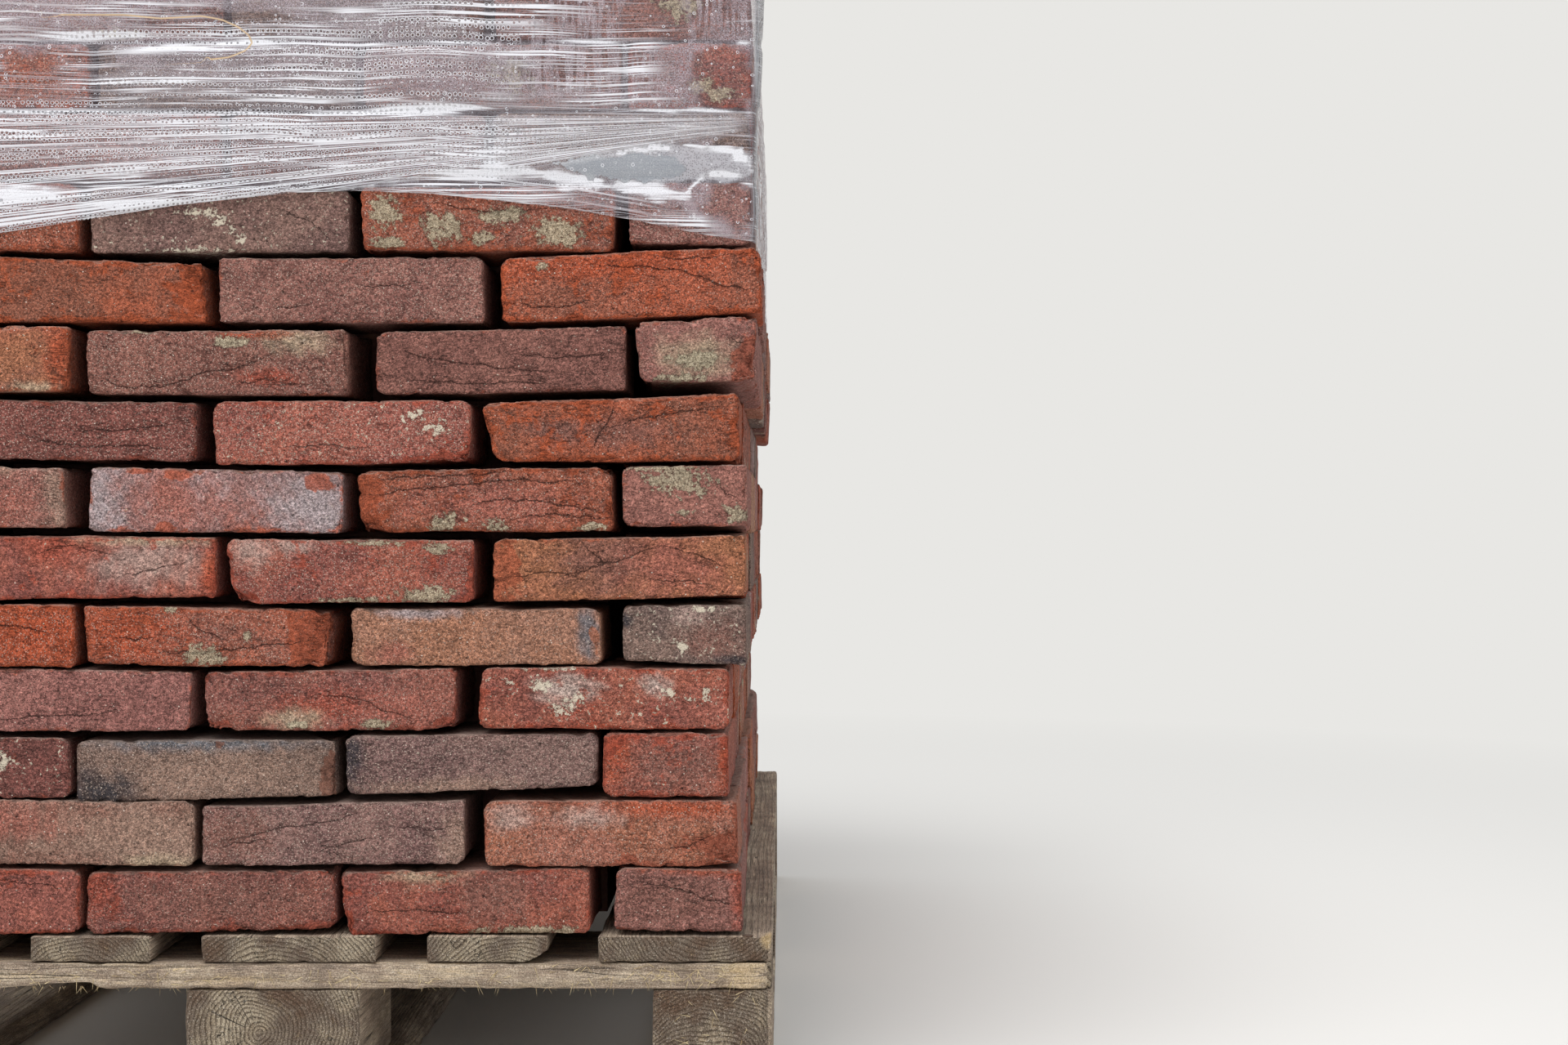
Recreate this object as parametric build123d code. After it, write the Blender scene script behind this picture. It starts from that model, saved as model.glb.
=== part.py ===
"""Reclaimed bricks stacked dry on a four-way wooden pallet, with stretch film round the upper courses.

Millimetres, +Z up. X runs along the pallet's 800 side and Y along its 1200 side, and the front is -Y.
The origin is at the middle of the pallet's footprint, on the floor.
"""

from build123d import *
import os
import random

# Pallet
pallet_width = 800
pallet_length = 1200
board_thickness = 22
wide_board = 145
narrow_board = 100
block_length = 145
block_height = 78
corner_bevel = 8
runner_chamfer = 10
runner_chamfer_stop = 20
wane_width = 18
wane_height = 9
front_centre_block_shift = -13

# Bricks, hand-moulded, so each course and each front brick differs a little from these sizes
brick_length = 214
brick_width = 105
brick_height = 57
arris = 4

# Stack
courses = 14
front_gap = 5
side_gap = 3
setback = 3
length_spread = 2
fill_clearance = 2
fill_gap = 1.5

# From the bottom course up: what is added to the height of its bricks
height_changes = (-0.5, -1, -0.5, -4, -4.5, 0.5, 0, 0.5, 2, 2.5, 2.5, 1, 0.5, 0)

# From the bottom course up: how far its right-hand end lies outside the stack's usual edge
end_shifts = (-6.5, -8.5, -17, -15, -2.5, -3.5, -2, -6.5, 7.5, 10, 1.5, 0.5, 2.5, 1.5)

# From the bottom course up: the gaps between its front bricks, from the right-hand corner
front_gaps = (
    (18.5, 2, 3.5),
    (13.5, 2, 3),
    (3, 4, 1.5),
    (15, 4, 3),
    (13.5, 8, 2.5),
    (13, 4.5, 5),
    (5, 5.5, 9),
    (2, 7, 6),
    (4, 17, 8),
    (11, 3, 5),
    (5, 3.5, 3.5),
    (4, 4, 4),
    (2, 3, 4),
    (5, 5.5, 5),
)

# From the bottom course up: what is added to the lengths of its front stretchers, from the right
length_changes = (
    (-3.5, -6.5, 0),
    (-1.5, 6.5, 0),
    (-1.5, 3, 0),
    (-5, 2, 0),
    (-3, 0.5, 0),
    (-4.5, -4.5, 0),
    (1, 3, 0),
    (5, 5, 0),
    (-3.5, 7, 0),
    (4, 8.5, 0),
    (2, 4.5, 0),
    (0, 0, 0),
    (3, 3, 0),
    (0.5, -1.5, 0),
)

# Stretch film
film_thickness = 0.6
film_clearance = 0.4
film_corner = 5
film_courses = 4
film_lap = 70
film_edge_above_joint = 8
film_arch_rise = 43
film_arch_inset = 104

deck_top = 3 * board_thickness + block_height


def standing_box(x_size, y_size, z_size, x, y, z_low):
    """A box centred on x and y that stands on z_low."""
    return Pos(x, y, z_low + z_size / 2) * Box(x_size, y_size, z_size)


# Pallet


def row_places():
    """Y of the front, middle and back rows of blocks and cross boards."""
    reach = (pallet_length - block_length) / 2
    return {"front": -reach, "middle": 0, "back": reach}


def column_places():
    """X and width of the left, centre and right columns of blocks and runners."""
    reach = (pallet_width - narrow_board) / 2
    return {"left": (-reach, narrow_board), "centre": (0, wide_board), "right": (reach, narrow_board)}


def deck_boards():
    """Five boards along the pallet, wide ones at the sides and in the middle."""
    gap = (pallet_width - 3 * wide_board - 2 * narrow_board) / 4
    low = deck_top - board_thickness
    boards = {}
    left = -pallet_width / 2
    for name in ("left", "mid_left", "centre", "mid_right", "right"):
        width = narrow_board if name.startswith("mid") else wide_board
        x = left + width / 2
        boards["deck_board_" + name] = standing_box(width, pallet_length, board_thickness, x, 0, low)
        left += width + gap
    # The narrow board on the right was sawn next to the bark, so its lower edge has a wane.
    waney = boards["deck_board_mid_right"]
    underside = waney.faces().sort_by(Axis.Z)[0]
    edge = underside.edges().sort_by(Axis.X)[-1]
    boards["deck_board_mid_right"] = chamfer(edge, wane_width, wane_height, reference=underside)
    return boards


def cross_boards():
    """Three boards across, under the deck."""
    low = deck_top - 2 * board_thickness
    return {
        "cross_board_" + row: standing_box(pallet_width, block_length, board_thickness, 0, y, low)
        for row, y in row_places().items()
    }


def blocks():
    """Nine blocks between the cross boards and the runners."""
    made = {}
    for row, y in row_places().items():
        for column, (x, width) in column_places().items():
            if (row, column) == ("front", "centre"):
                x += front_centre_block_shift
            piece = standing_box(width, block_length, block_height, x, y, board_thickness)
            made[f"block_{row}_{column}"] = piece
    return made


def runner(x, width):
    """A bottom board, its upper edges chamfered between the blocks for a truck's wheels."""
    board = standing_box(width, pallet_length, board_thickness, x, 0, 0)
    bay = (pallet_length - 3 * block_length) / 2
    across = runner_chamfer * 2**0.5
    cutter = Rot(0, 45, 0) * Box(across, bay - 2 * runner_chamfer_stop, across)
    for side in (-1, 1):
        for end in (-1, 1):
            edge = Pos(x + side * width / 2, end * (bay + block_length) / 2, board_thickness)
            board -= edge * cutter
    return board


def pallet():
    """All the pallet's pieces by name, those at its four corners bevelled together."""
    pieces = deck_boards()
    pieces.update(cross_boards())
    pieces.update(blocks())
    for column, (x, width) in column_places().items():
        pieces["bottom_board_" + column] = runner(x, width)
    plan = chamfer(Rectangle(pallet_width, pallet_length).vertices(), corner_bevel)
    outline = extrude(plan, deck_top)
    at_corners = [name for name in pieces if name.endswith(("_left", "_right")) and "mid" not in name]
    for name in at_corners + ["cross_board_front", "cross_board_back"]:
        pieces[name] = pieces[name] & outline
    return pieces


# Courses of bricks


def brick(length, height):
    """One brick, its long side along X, with worn arrises all round."""
    return chamfer(Box(length, brick_width, height).edges(), arris)


def level(number):
    """The height of the underside of a course. Courses count from 0, and differences repeat."""
    heights = [brick_height + height_changes[n % len(height_changes)] for n in range(number)]
    return deck_top + sum(heights)


def course_plan(number):
    """The sizes of one course: its ring of outer bricks, its front bricks and its random source."""
    across = int((pallet_width - brick_width) // (brick_length + front_gap))
    deep = int((pallet_length - brick_width) // (brick_length + side_gap))
    gaps = [front_gaps[number % len(front_gaps)][n % 3] for n in range(across)]
    changes = [length_changes[number % len(length_changes)][n % 3] for n in range(across)]
    lengths = [brick_length + change for change in changes]
    usual_right = (across * (brick_length + front_gap) + brick_width) / 2
    width = sum(lengths) + sum(gaps) + brick_width
    right = usual_right + end_shifts[number % len(end_shifts)]
    return {
        "random": random.Random(number),
        "header_on_right": number % 2 == 0,
        "front_lengths": lengths,
        "front_gaps": gaps,
        "across": across,
        "deep": deep,
        "width": width,
        "depth": deep * (brick_length + side_gap) + brick_width,
        "left": right - width,
        "right": right,
        "low": level(number),
        "height": level(number + 1) - level(number),
    }


def uneven_run(count, side, source):
    """Lengths and gaps of the bricks along a side, all a little different, that add up to the side."""
    changes = [source.uniform(-length_spread, length_spread) for _ in range(count)]
    lengths = [brick_length + change - sum(changes) / count for change in changes]
    shares = [source.uniform(0.6, 1.4) for _ in range(count)]
    spare = side - brick_width - sum(lengths)
    return lengths, [spare * share / sum(shares) for share in shares]


def ring(plan):
    """The outer bricks, as length, x, y and angle. Each side starts at its own corner with a stretcher
    and stops at the first brick of the next side, which turns its header to it."""
    source = plan["random"]
    width, depth = plan["width"], plan["depth"]
    front = (plan["front_lengths"], plan["front_gaps"])
    if plan["header_on_right"]:
        front = (front[0][::-1], front[1][::-1])
    sides = [(width, front)]
    for side, count in ((depth, plan["deep"]), (width, plan["across"]), (depth, plan["deep"])):
        sides.append((side, uneven_run(count, side, source)))
    mirror = 1 if plan["header_on_right"] else -1
    middle = (plan["left"] + plan["right"]) / 2
    corner = Vector(-width / 2, -depth / 2)
    ahead, inward = Vector(1, 0), Vector(0, 1)
    placed = []
    for index, (side, (lengths, gaps)) in enumerate(sides):
        along = 0
        for length, gap in zip(lengths, gaps):
            inset = source.uniform(0, setback) if along else 0
            centre = corner + ahead * (along + length / 2) + inward * (brick_width / 2 + inset)
            placed.append((length, middle + mirror * centre.X, centre.Y, 90 * (index % 2)))
            along += length + gap
        corner += ahead * side
        ahead, inward = inward, -ahead
    return placed


def ring_reach():
    """How far inside a course's outline its inner bricks start."""
    return brick_width + setback + fill_clearance


def spaced(low, high, size):
    """Centres of as many pieces as fit between low and high, spread evenly."""
    count = int((high - low + fill_gap) // (size + fill_gap))
    gap = (high - low - count * size) / max(count - 1, 1)
    return [low + size / 2 + index * (size + gap) for index in range(count)]


def filling(plan):
    """The inner bricks: columns along Y, then a row across that ends on a half brick."""
    low_x, high_x = plan["left"] + ring_reach(), plan["right"] - ring_reach()
    low_y = -plan["depth"] / 2 + ring_reach()
    high_y = -low_y
    rows = int((high_y - low_y + fill_gap) // (brick_length + fill_gap))
    rows_end = low_y + rows * (brick_length + fill_gap)
    placed = []
    for x in spaced(low_x, high_x, brick_width):
        for row in range(rows):
            y = low_y + brick_length / 2 + row * (brick_length + fill_gap)
            placed.append((brick_length, x, y, 90))
    if high_y - rows_end >= brick_width:
        y = high_y - brick_width / 2
        left = low_x
        for length in [brick_length] * int((high_x - low_x) // brick_length) + [brick_width]:
            if left + length <= high_x:
                placed.append((length, left + length / 2, y, 0))
                left += length + fill_gap
    return placed


def course(number):
    """One course. Only the top one shows its inner bricks, and the core stands for the others'."""
    plan = course_plan(number)
    placed = ring(plan)
    if number == courses - 1:
        placed += filling(plan)
    middle = plan["low"] + plan["height"] / 2
    return [
        Pos(x, y, middle) * Rot(0, 0, angle) * brick(length, plan["height"])
        for length, x, y, angle in placed
    ]


def core():
    """One plain block for the inner bricks that the courses round them and the top one hide."""
    plans = [course_plan(number) for number in range(courses - 1)]
    left = max(plan["left"] for plan in plans) + ring_reach()
    right = min(plan["right"] for plan in plans) - ring_reach()
    length = plans[0]["depth"] - 2 * ring_reach()
    height = level(courses - 1) - deck_top
    return standing_box(right - left, length, height, (left + right) / 2, 0, deck_top)


# Stretch film


def film_block(grown):
    """The wrapped courses' outline as one block with rounded corners, grown all round."""
    wrapped = [course_plan(number) for number in range(courses - film_courses, courses)]
    left = min(plan["left"] for plan in wrapped) - grown
    right = max(plan["right"] for plan in wrapped) + grown
    depth = wrapped[0]["depth"] + 2 * grown
    low = level(courses - film_courses) + film_edge_above_joint
    height = level(courses) + grown - low
    outline = standing_box(right - left, depth, height, (left + right) / 2, 0, low)
    underside = outline.faces().sort_by(Axis.Z)[0].edges()
    rounded = [edge for edge in outline.edges() if edge not in underside]
    return fillet(rounded, film_corner + grown)


def film():
    """The wrap as one thin sleeve round the upper courses, folded in over the top brick edges."""
    inside = film_block(film_clearance)
    outside = film_block(film_clearance + film_thickness)
    box = inside.bounding_box()
    middle = box.center()
    opening = Pos(middle.X, 0, box.max.Z) * Box(
        box.size.X - 2 * film_lap, box.size.Y - 2 * film_lap, film_lap
    )
    # The lower edge climbs over the middle of the front, from near the left corner to the right one.
    foot = Vector(box.min.X + film_arch_inset, 0, box.min.Z)
    far_foot = Vector(box.max.X, 0, box.min.Z)
    peak = (foot + far_foot) / 2 + Vector(0, 0, film_arch_rise)
    arch = make_face(ThreePointArc(foot, peak, far_foot) + Line(far_foot, foot))
    arch_cut = Pos(0, box.min.Y, 0) * extrude(arch, film_lap / 2, dir=(0, 1, 0), both=True)
    return outside - inside - opening - arch_cut


def write(name, shape):
    solids = shape if isinstance(shape, list) else shape.solids()
    export_step(Compound(children=list(solids)), os.path.join("parts", name + ".step"))


os.makedirs("parts", exist_ok=True)
for name, piece in pallet().items():
    write(name, piece)
for number in range(courses):
    write(f"brick_course_{number + 1:02d}", course(number))
write("brick_core", core())
write("stretch_film", film())
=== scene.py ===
"""Looks of a pallet of reclaimed bricks under stretch film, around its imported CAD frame. Metres, +Z up.

The front is -Y. The pallet comes first, then the bricks on it, the film round them, and the studio last.
"""

import math
import random
from functools import partial

import bmesh
import bpy
import numpy as np
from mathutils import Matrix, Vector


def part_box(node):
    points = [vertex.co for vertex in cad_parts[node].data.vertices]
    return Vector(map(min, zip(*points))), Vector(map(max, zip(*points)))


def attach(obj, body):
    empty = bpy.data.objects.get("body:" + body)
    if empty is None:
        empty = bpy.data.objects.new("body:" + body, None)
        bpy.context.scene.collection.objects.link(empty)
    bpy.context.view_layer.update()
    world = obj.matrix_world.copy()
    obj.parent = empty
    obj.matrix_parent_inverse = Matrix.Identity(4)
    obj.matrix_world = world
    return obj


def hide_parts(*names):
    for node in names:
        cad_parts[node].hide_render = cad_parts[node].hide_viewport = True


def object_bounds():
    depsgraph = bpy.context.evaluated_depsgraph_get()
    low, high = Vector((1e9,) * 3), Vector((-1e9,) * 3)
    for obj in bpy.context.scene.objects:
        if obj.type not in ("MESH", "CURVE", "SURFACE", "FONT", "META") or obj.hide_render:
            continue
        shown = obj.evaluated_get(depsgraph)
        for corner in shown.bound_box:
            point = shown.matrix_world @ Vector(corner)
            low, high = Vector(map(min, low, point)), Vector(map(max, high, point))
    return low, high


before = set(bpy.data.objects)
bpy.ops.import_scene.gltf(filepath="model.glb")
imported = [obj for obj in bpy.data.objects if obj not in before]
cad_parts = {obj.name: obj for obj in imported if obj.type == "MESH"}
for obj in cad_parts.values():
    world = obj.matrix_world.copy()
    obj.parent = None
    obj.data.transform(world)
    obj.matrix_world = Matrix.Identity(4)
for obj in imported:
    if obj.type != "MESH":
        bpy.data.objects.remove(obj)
cad_box = [list(corner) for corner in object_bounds()]


# The pallet's timber
#
# Spruce boards and blocks, rough-sawn at the mill and then left out in the rain, so that they turned grey.
# Each piece keeps its CAD place and size and gets a sawn surface, worn arrises and its own growth rings.

mm = 0.001


def linear(hex_colour):
    """An sRGB hex value as a linear colour."""
    parts = [int(hex_colour[place : place + 2], 16) / 255 for place in (1, 3, 5)]
    return [c / 12.92 if c <= 0.04045 else ((c + 0.055) / 1.055) ** 2.4 for c in parts] + [1.0]


# Words for the nodes that the trees use: Blender's type and its settings.
words = {
    "shifted": ("ShaderNodeVectorMath", {"operation": "ADD"}),
    "scaled": ("ShaderNodeVectorMath", {"operation": "MULTIPLY"}),
    "pushed": ("ShaderNodeVectorMath", {"operation": "SCALE"}),
    "length": ("ShaderNodeVectorMath", {"operation": "LENGTH"}),
    "spread": ("ShaderNodeMapRange", {}),
    "blend": ("ShaderNodeMix", {"data_type": "RGBA"}),
    "noise": ("ShaderNodeTexNoise", {}),
    "flat_noise": ("ShaderNodeTexNoise", {"noise_dimensions": "2D"}),
    "cells": ("ShaderNodeTexVoronoi", {}),
    "flat_cells": ("ShaderNodeTexVoronoi", {"voronoi_dimensions": "2D"}),
    "ramp": ("ShaderNodeValToRGB", {}),
    "colour_parts": ("ShaderNodeSeparateColor", {}),
    "vector_parts": ("ShaderNodeSeparateXYZ", {}),
    "vector": ("ShaderNodeCombineXYZ", {}),
    "read": ("ShaderNodeAttribute", {}),
    "named": ("GeometryNodeInputNamedAttribute", {}),
    "bump": ("ShaderNodeBump", {}),
    "surface": ("ShaderNodeBsdfPrincipled", {}),
    "random": ("FunctionNodeRandomValue", {}),
}
math_words = {
    "sum": "ADD", "less": "SUBTRACT", "times": "MULTIPLY", "times_plus": "MULTIPLY_ADD", "largest": "MAXIMUM",
    "smallest": "MINIMUM", "unsigned": "ABSOLUTE", "is_below": "LESS_THAN", "is_above": "GREATER_THAN",
    "angle": "ARCTAN2",
}
words |= {word: ("ShaderNodeMath", {"operation": operation}) for word, operation in math_words.items()}


def add(tree, kind, *values, stops=(), **settings):
    """Adds a node, named by its type or by one of the words, and gives it its settings. The values go to its
    sockets in order, or by name where they come in a dict. A node among them stands for its first output.
    stops are those of a colour ramp, each a place and a hex colour or a grey level."""
    kind, given = words.get(kind, (kind, {}))
    made = tree.nodes.new(kind)
    for name, value in {**given, **settings}.items():
        setattr(made, name, value)
    for number, (place, shade) in enumerate(stops):
        elements = made.color_ramp.elements
        element = elements[number] if number < len(elements) else elements.new(1)
        element.position = place
        element.color = linear(shade) if isinstance(shade, str) else [shade] * 3 + [1]
    sockets = [socket for socket in made.inputs if socket.enabled]
    for place, value in enumerate(values):
        for key, part in value.items() if isinstance(value, dict) else [(None, value)]:
            socket = sockets[place] if key is None else made.inputs[key]
            if isinstance(part, bpy.types.Node):
                part = next(output for output in part.outputs if output.enabled)
            if isinstance(part, bpy.types.NodeSocket):
                tree.links.new(part, socket)
            else:
                socket.default_value = part
    return made


def new_material(name):
    """A material without nodes, and a function that adds them to its tree."""
    material = bpy.data.materials.new(name)
    material.use_nodes = True
    material.node_tree.nodes.clear()
    return material, partial(add, material.node_tree)


def grid_lines(size, step, ease):
    """Places of grid lines along a side, close together within ease of both ends and step apart between."""
    near = np.array([0, 0.45, 1.15]) * ease
    start = 2 * ease
    count = max(2, round((size - 2 * start) / step))
    middle = np.linspace(start, size - start, count + 1)
    return np.concatenate([near, middle, size - near[::-1]]) - size / 2


def box_grid(size, steps, shown, ease):
    """A closed box's surface as points and faces. shown holds the (axis, side) faces that get their whole
    grid, and the others have it only near their rim, round one flat face."""
    rim = 2
    lines = [grid_lines(s, step, ease) for s, step in zip(size, steps)]
    numbers, points, faces = {}, [], []

    def point(key):
        if key not in numbers:
            numbers[key] = len(points)
            points.append([lines[axis][key[axis]] for axis in range(3)])
        return numbers[key]

    for axis in range(3):
        first, second = (axis + 1) % 3, (axis + 2) % 3
        across, up = len(lines[first]) - 1, len(lines[second]) - 1
        for side in (0, 1):
            key = [0, 0, 0]
            key[axis] = side * (len(lines[axis]) - 1)

            def at(i, j):
                key[first], key[second] = i, j
                return point(tuple(key))

            whole = (axis, side) in shown
            order = 1 if side else -1
            for i in range(across):
                for j in range(up):
                    if whole or not (rim <= i < across - rim and rim <= j < up - rim):
                        faces.append([at(i, j), at(i + 1, j), at(i + 1, j + 1), at(i, j + 1)][::order])
            if not whole and across > 2 * rim and up > 2 * rim:
                right, top = across - rim, up - rim
                loop = [(i, rim) for i in range(rim, right)] + [(right, j) for j in range(rim, top)]
                loop += [(i, top) for i in range(right, rim, -1)] + [(rim, j) for j in range(top, rim, -1)]
                faces.append([at(i, j) for i, j in loop][::order])
    return np.array(points), faces


def rounded(points, size, radius):
    """Rounds a box's arrises."""
    inner = np.clip(np.array(size) / 2 - radius, 0, None)
    core = np.clip(points, -inner, inner)
    out = points - core
    length = np.linalg.norm(out, axis=1, keepdims=True)
    return core + out / np.maximum(length, 1e-9) * np.minimum(length, radius)


def arris_distance(points, size):
    """How far each point of a box's surface lies from the nearest arris."""
    inside = np.sort(np.array(size) / 2 - np.abs(points), axis=1)
    return inside[:, 1]


def new_piece(name, points, faces, attributes):
    """A smooth-shaded mesh object with named values on its points: numbers, vectors or linear colours."""
    mesh = bpy.data.meshes.new(name)
    mesh.from_pydata(np.asarray(points).tolist(), [], faces)
    kinds = {1: ("FLOAT", "value"), 3: ("FLOAT_VECTOR", "vector"), 4: ("FLOAT_COLOR", "color")}
    for label, values in attributes.items():
        values = np.asarray(values, np.float32)
        kind, field = kinds[1 if values.ndim == 1 else values.shape[1]]
        mesh.attributes.new(label, kind, "POINT").data.foreach_set(field, values.ravel())
    mesh.polygons.foreach_set("use_smooth", [True] * len(faces))
    mesh.update()
    piece = bpy.data.objects.new(name, mesh)
    bpy.context.scene.collection.objects.link(piece)
    return piece


def start_tree(name, **numbers):
    """A Geometry Nodes tree with a geometry and these named numbers as inputs, the function that adds nodes
    to it, and its input node."""
    tree = bpy.data.node_groups.new(name, "GeometryNodeTree")
    tree.interface.new_socket("Geometry", in_out="INPUT", socket_type="NodeSocketGeometry")
    for label, value in numbers.items():
        socket = tree.interface.new_socket(label, in_out="INPUT", socket_type="NodeSocketFloat")
        socket.default_value = value
    tree.interface.new_socket("Geometry", in_out="OUTPUT", socket_type="NodeSocketGeometry")
    put = partial(add, tree)
    return tree, put, put("NodeGroupInput")


def end_tree(tree, geometry, material):
    """Closes a tree with Realize Instances and Set Material."""
    real = add(tree, "GeometryNodeRealizeInstances", geometry)
    painted = add(tree, "GeometryNodeSetMaterial", real, {"Material": material})
    add(tree, "NodeGroupOutput", painted)
    return tree


def apply_tree(piece, tree, **numbers):
    """Runs a Geometry Nodes tree on a piece and keeps the result as the piece's plain mesh."""
    modifier = piece.modifiers.new(tree.name, "NODES")
    modifier.node_group = tree
    for socket in tree.interface.items_tree:
        if socket.in_out == "INPUT" and socket.name in numbers:
            modifier[socket.identifier] = numbers[socket.name]
    seen = bpy.context.evaluated_depsgraph_get()
    mesh = bpy.data.meshes.new_from_object(
        piece.evaluated_get(seen), preserve_all_data_layers=True, depsgraph=seen
    )
    piece.modifiers.clear()
    painted = next(material for material in mesh.materials if material)
    mesh.materials.clear()
    mesh.materials.append(painted)
    mesh.polygons.foreach_set("material_index", [0] * len(mesh.polygons))
    piece.data = mesh
    return piece


def box_of(node):
    """The lowest and the highest corner of a CAD node's box."""
    low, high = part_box(node)
    return np.array(low), np.array(high)


def hand_over(piece, slot, *nodes):
    """The piece rides on the pallet's body and stands for these CAD nodes, which it hides. slot is not used.
    """
    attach(piece, "root")
    if nodes:
        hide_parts(*nodes)


def weathered_spruce():
    """Rough-sawn spruce, greyed by rain. Late wood stands out as darker rings on the sawn ends and as wavy
    lines along the faces, drying has checked the ends, and the newest splits are still straw-coloured."""
    material, put = new_material("weathered_spruce")
    ring_width, fibre_width = 3.4 * mm, 0.8 * mm
    grain, end, wear = (put("read", attribute_name=name) for name in ("grain", "end", "wear"))
    grain, end, wear = grain.outputs["Vector"], end.outputs["Fac"], wear.outputs["Fac"]
    drawn_out = put("scaled", grain, (0.09, 1, 1))
    sway = put("noise", drawn_out, 1 / (48 * mm), 2.0, 0.5).outputs["Color"]
    sway = put("pushed", put("shifted", sway, (-0.5, -0.5, -0.5)), 22 * mm)
    swayed = put("shifted", drawn_out, sway)
    # The wave's period is a tenth of pi at scale 1.
    rings = put(
        "ShaderNodeTexWave", swayed, math.pi / 10 / ring_width, 1.6, 3.0, 0.5, 0.6,
        wave_type="RINGS", rings_direction="X", wave_profile="SAW",
    ).outputs["Fac"]
    late = put("ramp", rings, stops=((0.0, 0.1), (0.4, 0.2), (0.85, 1.0), (1.0, 0.1)))
    fibres = put("noise", put("scaled", grain, (0.05, 1, 1)), 1 / fibre_width, 3.0, 0.65)
    strips = put("noise", put("scaled", grain, (0.1, 1, 1)), 1 / (9 * mm), 3.0, 0.6)
    stains = put("noise", grain, 1 / (45 * mm), 4.0, 0.6)
    crumbs = put("noise", grain, 1 / (1.1 * mm), 2.0)
    mixed = put("times_plus", strips, 0.5, put("times", stains, 0.5))
    side_tone = put("ramp", mixed, stops=((0.36, "#837468"), (0.5, "#a99683"), (0.62, "#cdbba4")))
    _, aside, up = put("vector_parts", grain).outputs
    turned = put("angle", up, aside)
    radius = put("length", put("vector", 0.0, aside, up))
    sap = put("sum", stains, put("spread", radius, 15 * mm, 60 * mm, 0.06, -0.05))
    end_stops = ((0.33, "#6c5646"), (0.45, "#807264"), (0.56, "#a5957f"), (0.7, "#c0b199"))
    end_tone = put("ramp", sap, stops=end_stops)
    tone = put("blend", end, side_tone, end_tone)
    dark_ring = put("times", late, put("spread", strips, 0.35, 0.65, 0.75, 1.1))
    tone = put("blend", put("times", dark_ring, put("spread", end, 0, 1, 0.5, 0.92)), tone, linear("#453529"))
    tone = put("scaled", tone, put("spread", fibres, 0.32, 0.66, 0.5, 1.4))

    # Checks run out from the pith on the ends, and along the grain on the faces, darkened with painted shade.
    check_place = put("vector", put("times_plus", strips, 0.12, put("times", turned, 2.2)), 0.0)
    end_check = put("unsigned", put("sum", put("flat_noise", check_place, 1.0, 2.0, 0.6), -0.5))
    end_check = put("spread", put("times", end_check, radius), 0.03 * mm, 0.22 * mm, 1, 0)
    end_check = put("times", put("times", end_check, end), put("spread", stains, 0.54, 0.58))
    end_check = put("times", end_check, put("spread", radius, 30 * mm, 60 * mm, 1, 0.25))
    face_check = put("noise", put("scaled", grain, (0.03, 1, 1)), 1 / (14 * mm), 2.0, 0.6)
    face_check = put("spread", put("unsigned", put("sum", face_check, -0.5)), 0.002, 0.01, 1, 0)
    face_check = put("times", face_check, put("spread", stains, 0.48, 0.6))
    check = put("largest", end_check, face_check)
    tone = put("blend", put("times", check, 0.85), tone, linear("#1d1712"))
    fresh = put("spread", put("sum", wear, put("sum", fibres, strips)), 1.15, 1.6, 0, 0.8)
    tone = put("blend", fresh, tone, linear("#d2b588"))
    tone = put("scaled", tone, put("spread", crumbs, 0.32, 0.68, 0.62, 1.38))
    mould = put("times", put("spread", crumbs, 0.6, 0.7), put("spread", stains, 0.35, 0.6, 0.2, 0.7))
    tone = put("blend", mould, tone, linear("#d0c8bb"))

    height = put("times", late, 0.7)
    for layer, strength in ((fibres, 1.2), (crumbs, 0.9), (check, -2.0)):
        height = put("times_plus", layer, strength, height)
    bump = put("bump", 0.8, 0.9 * mm, {"Height": height})
    looks = {"Base Color": tone, "Roughness": 0.85, "Specular IOR Level": 0.25, "Normal": bump}
    put("ShaderNodeOutputMaterial", put("surface", looks))
    return material


spruce = weathered_spruce()


def saw_and_wear():
    """The tree that turns a plain board into a sawn one: it waves a little, its fibres stand up in ridges
    along the grain and its arrises are knocked back. Everything moves inwards, so that it keeps its size."""
    tree, put, given = start_tree("saw_and_wear", Wave=1.3 * mm, Fibre=0.6 * mm, Knock=2.8 * mm)
    grain = put("named", "grain", data_type="FLOAT_VECTOR")
    edge = put("named", "edge")
    waves = put("noise", grain, 1 / (160 * mm), 1.0)
    ridges = put("noise", put("scaled", grain, (0.08, 1, 1)), 1 / (5 * mm), 2.0)
    knocks = put("noise", grain, 1 / (22 * mm), 3.0)
    wave = put("times", put("sum", waves, -0.8), given.outputs["Wave"])
    ridge = put("times", put("sum", ridges, -0.8), given.outputs["Fibre"])
    knock = put("times", put("spread", knocks, 0.5, 0.75, 0, -1), put("spread", edge, 0, 6 * mm, 1, 0))
    knock = put("times", knock, given.outputs["Knock"])
    depth = put("sum", put("sum", wave, ridge), knock)
    move = put("pushed", put("GeometryNodeInputNormal"), depth)
    moved = put("GeometryNodeSetPosition", given, {"Offset": move})
    return end_tree(tree, moved, spruce)


sawn = saw_and_wear()


# Where the pith lies from each piece's middle, across the grain and up, as shares of its width and height.
pith_of = {
    "block_front_centre": (-0.1, 0.05),
    "block_front_right": (-0.07, -0.66),
    "deck_board_mid_right": (0.2, -2.1),
    "deck_board_centre": (-0.1, -2.4),
    "deck_board_mid_left": (-0.15, -1.9),
    "deck_board_right": (0.15, 1.9),
}


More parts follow.
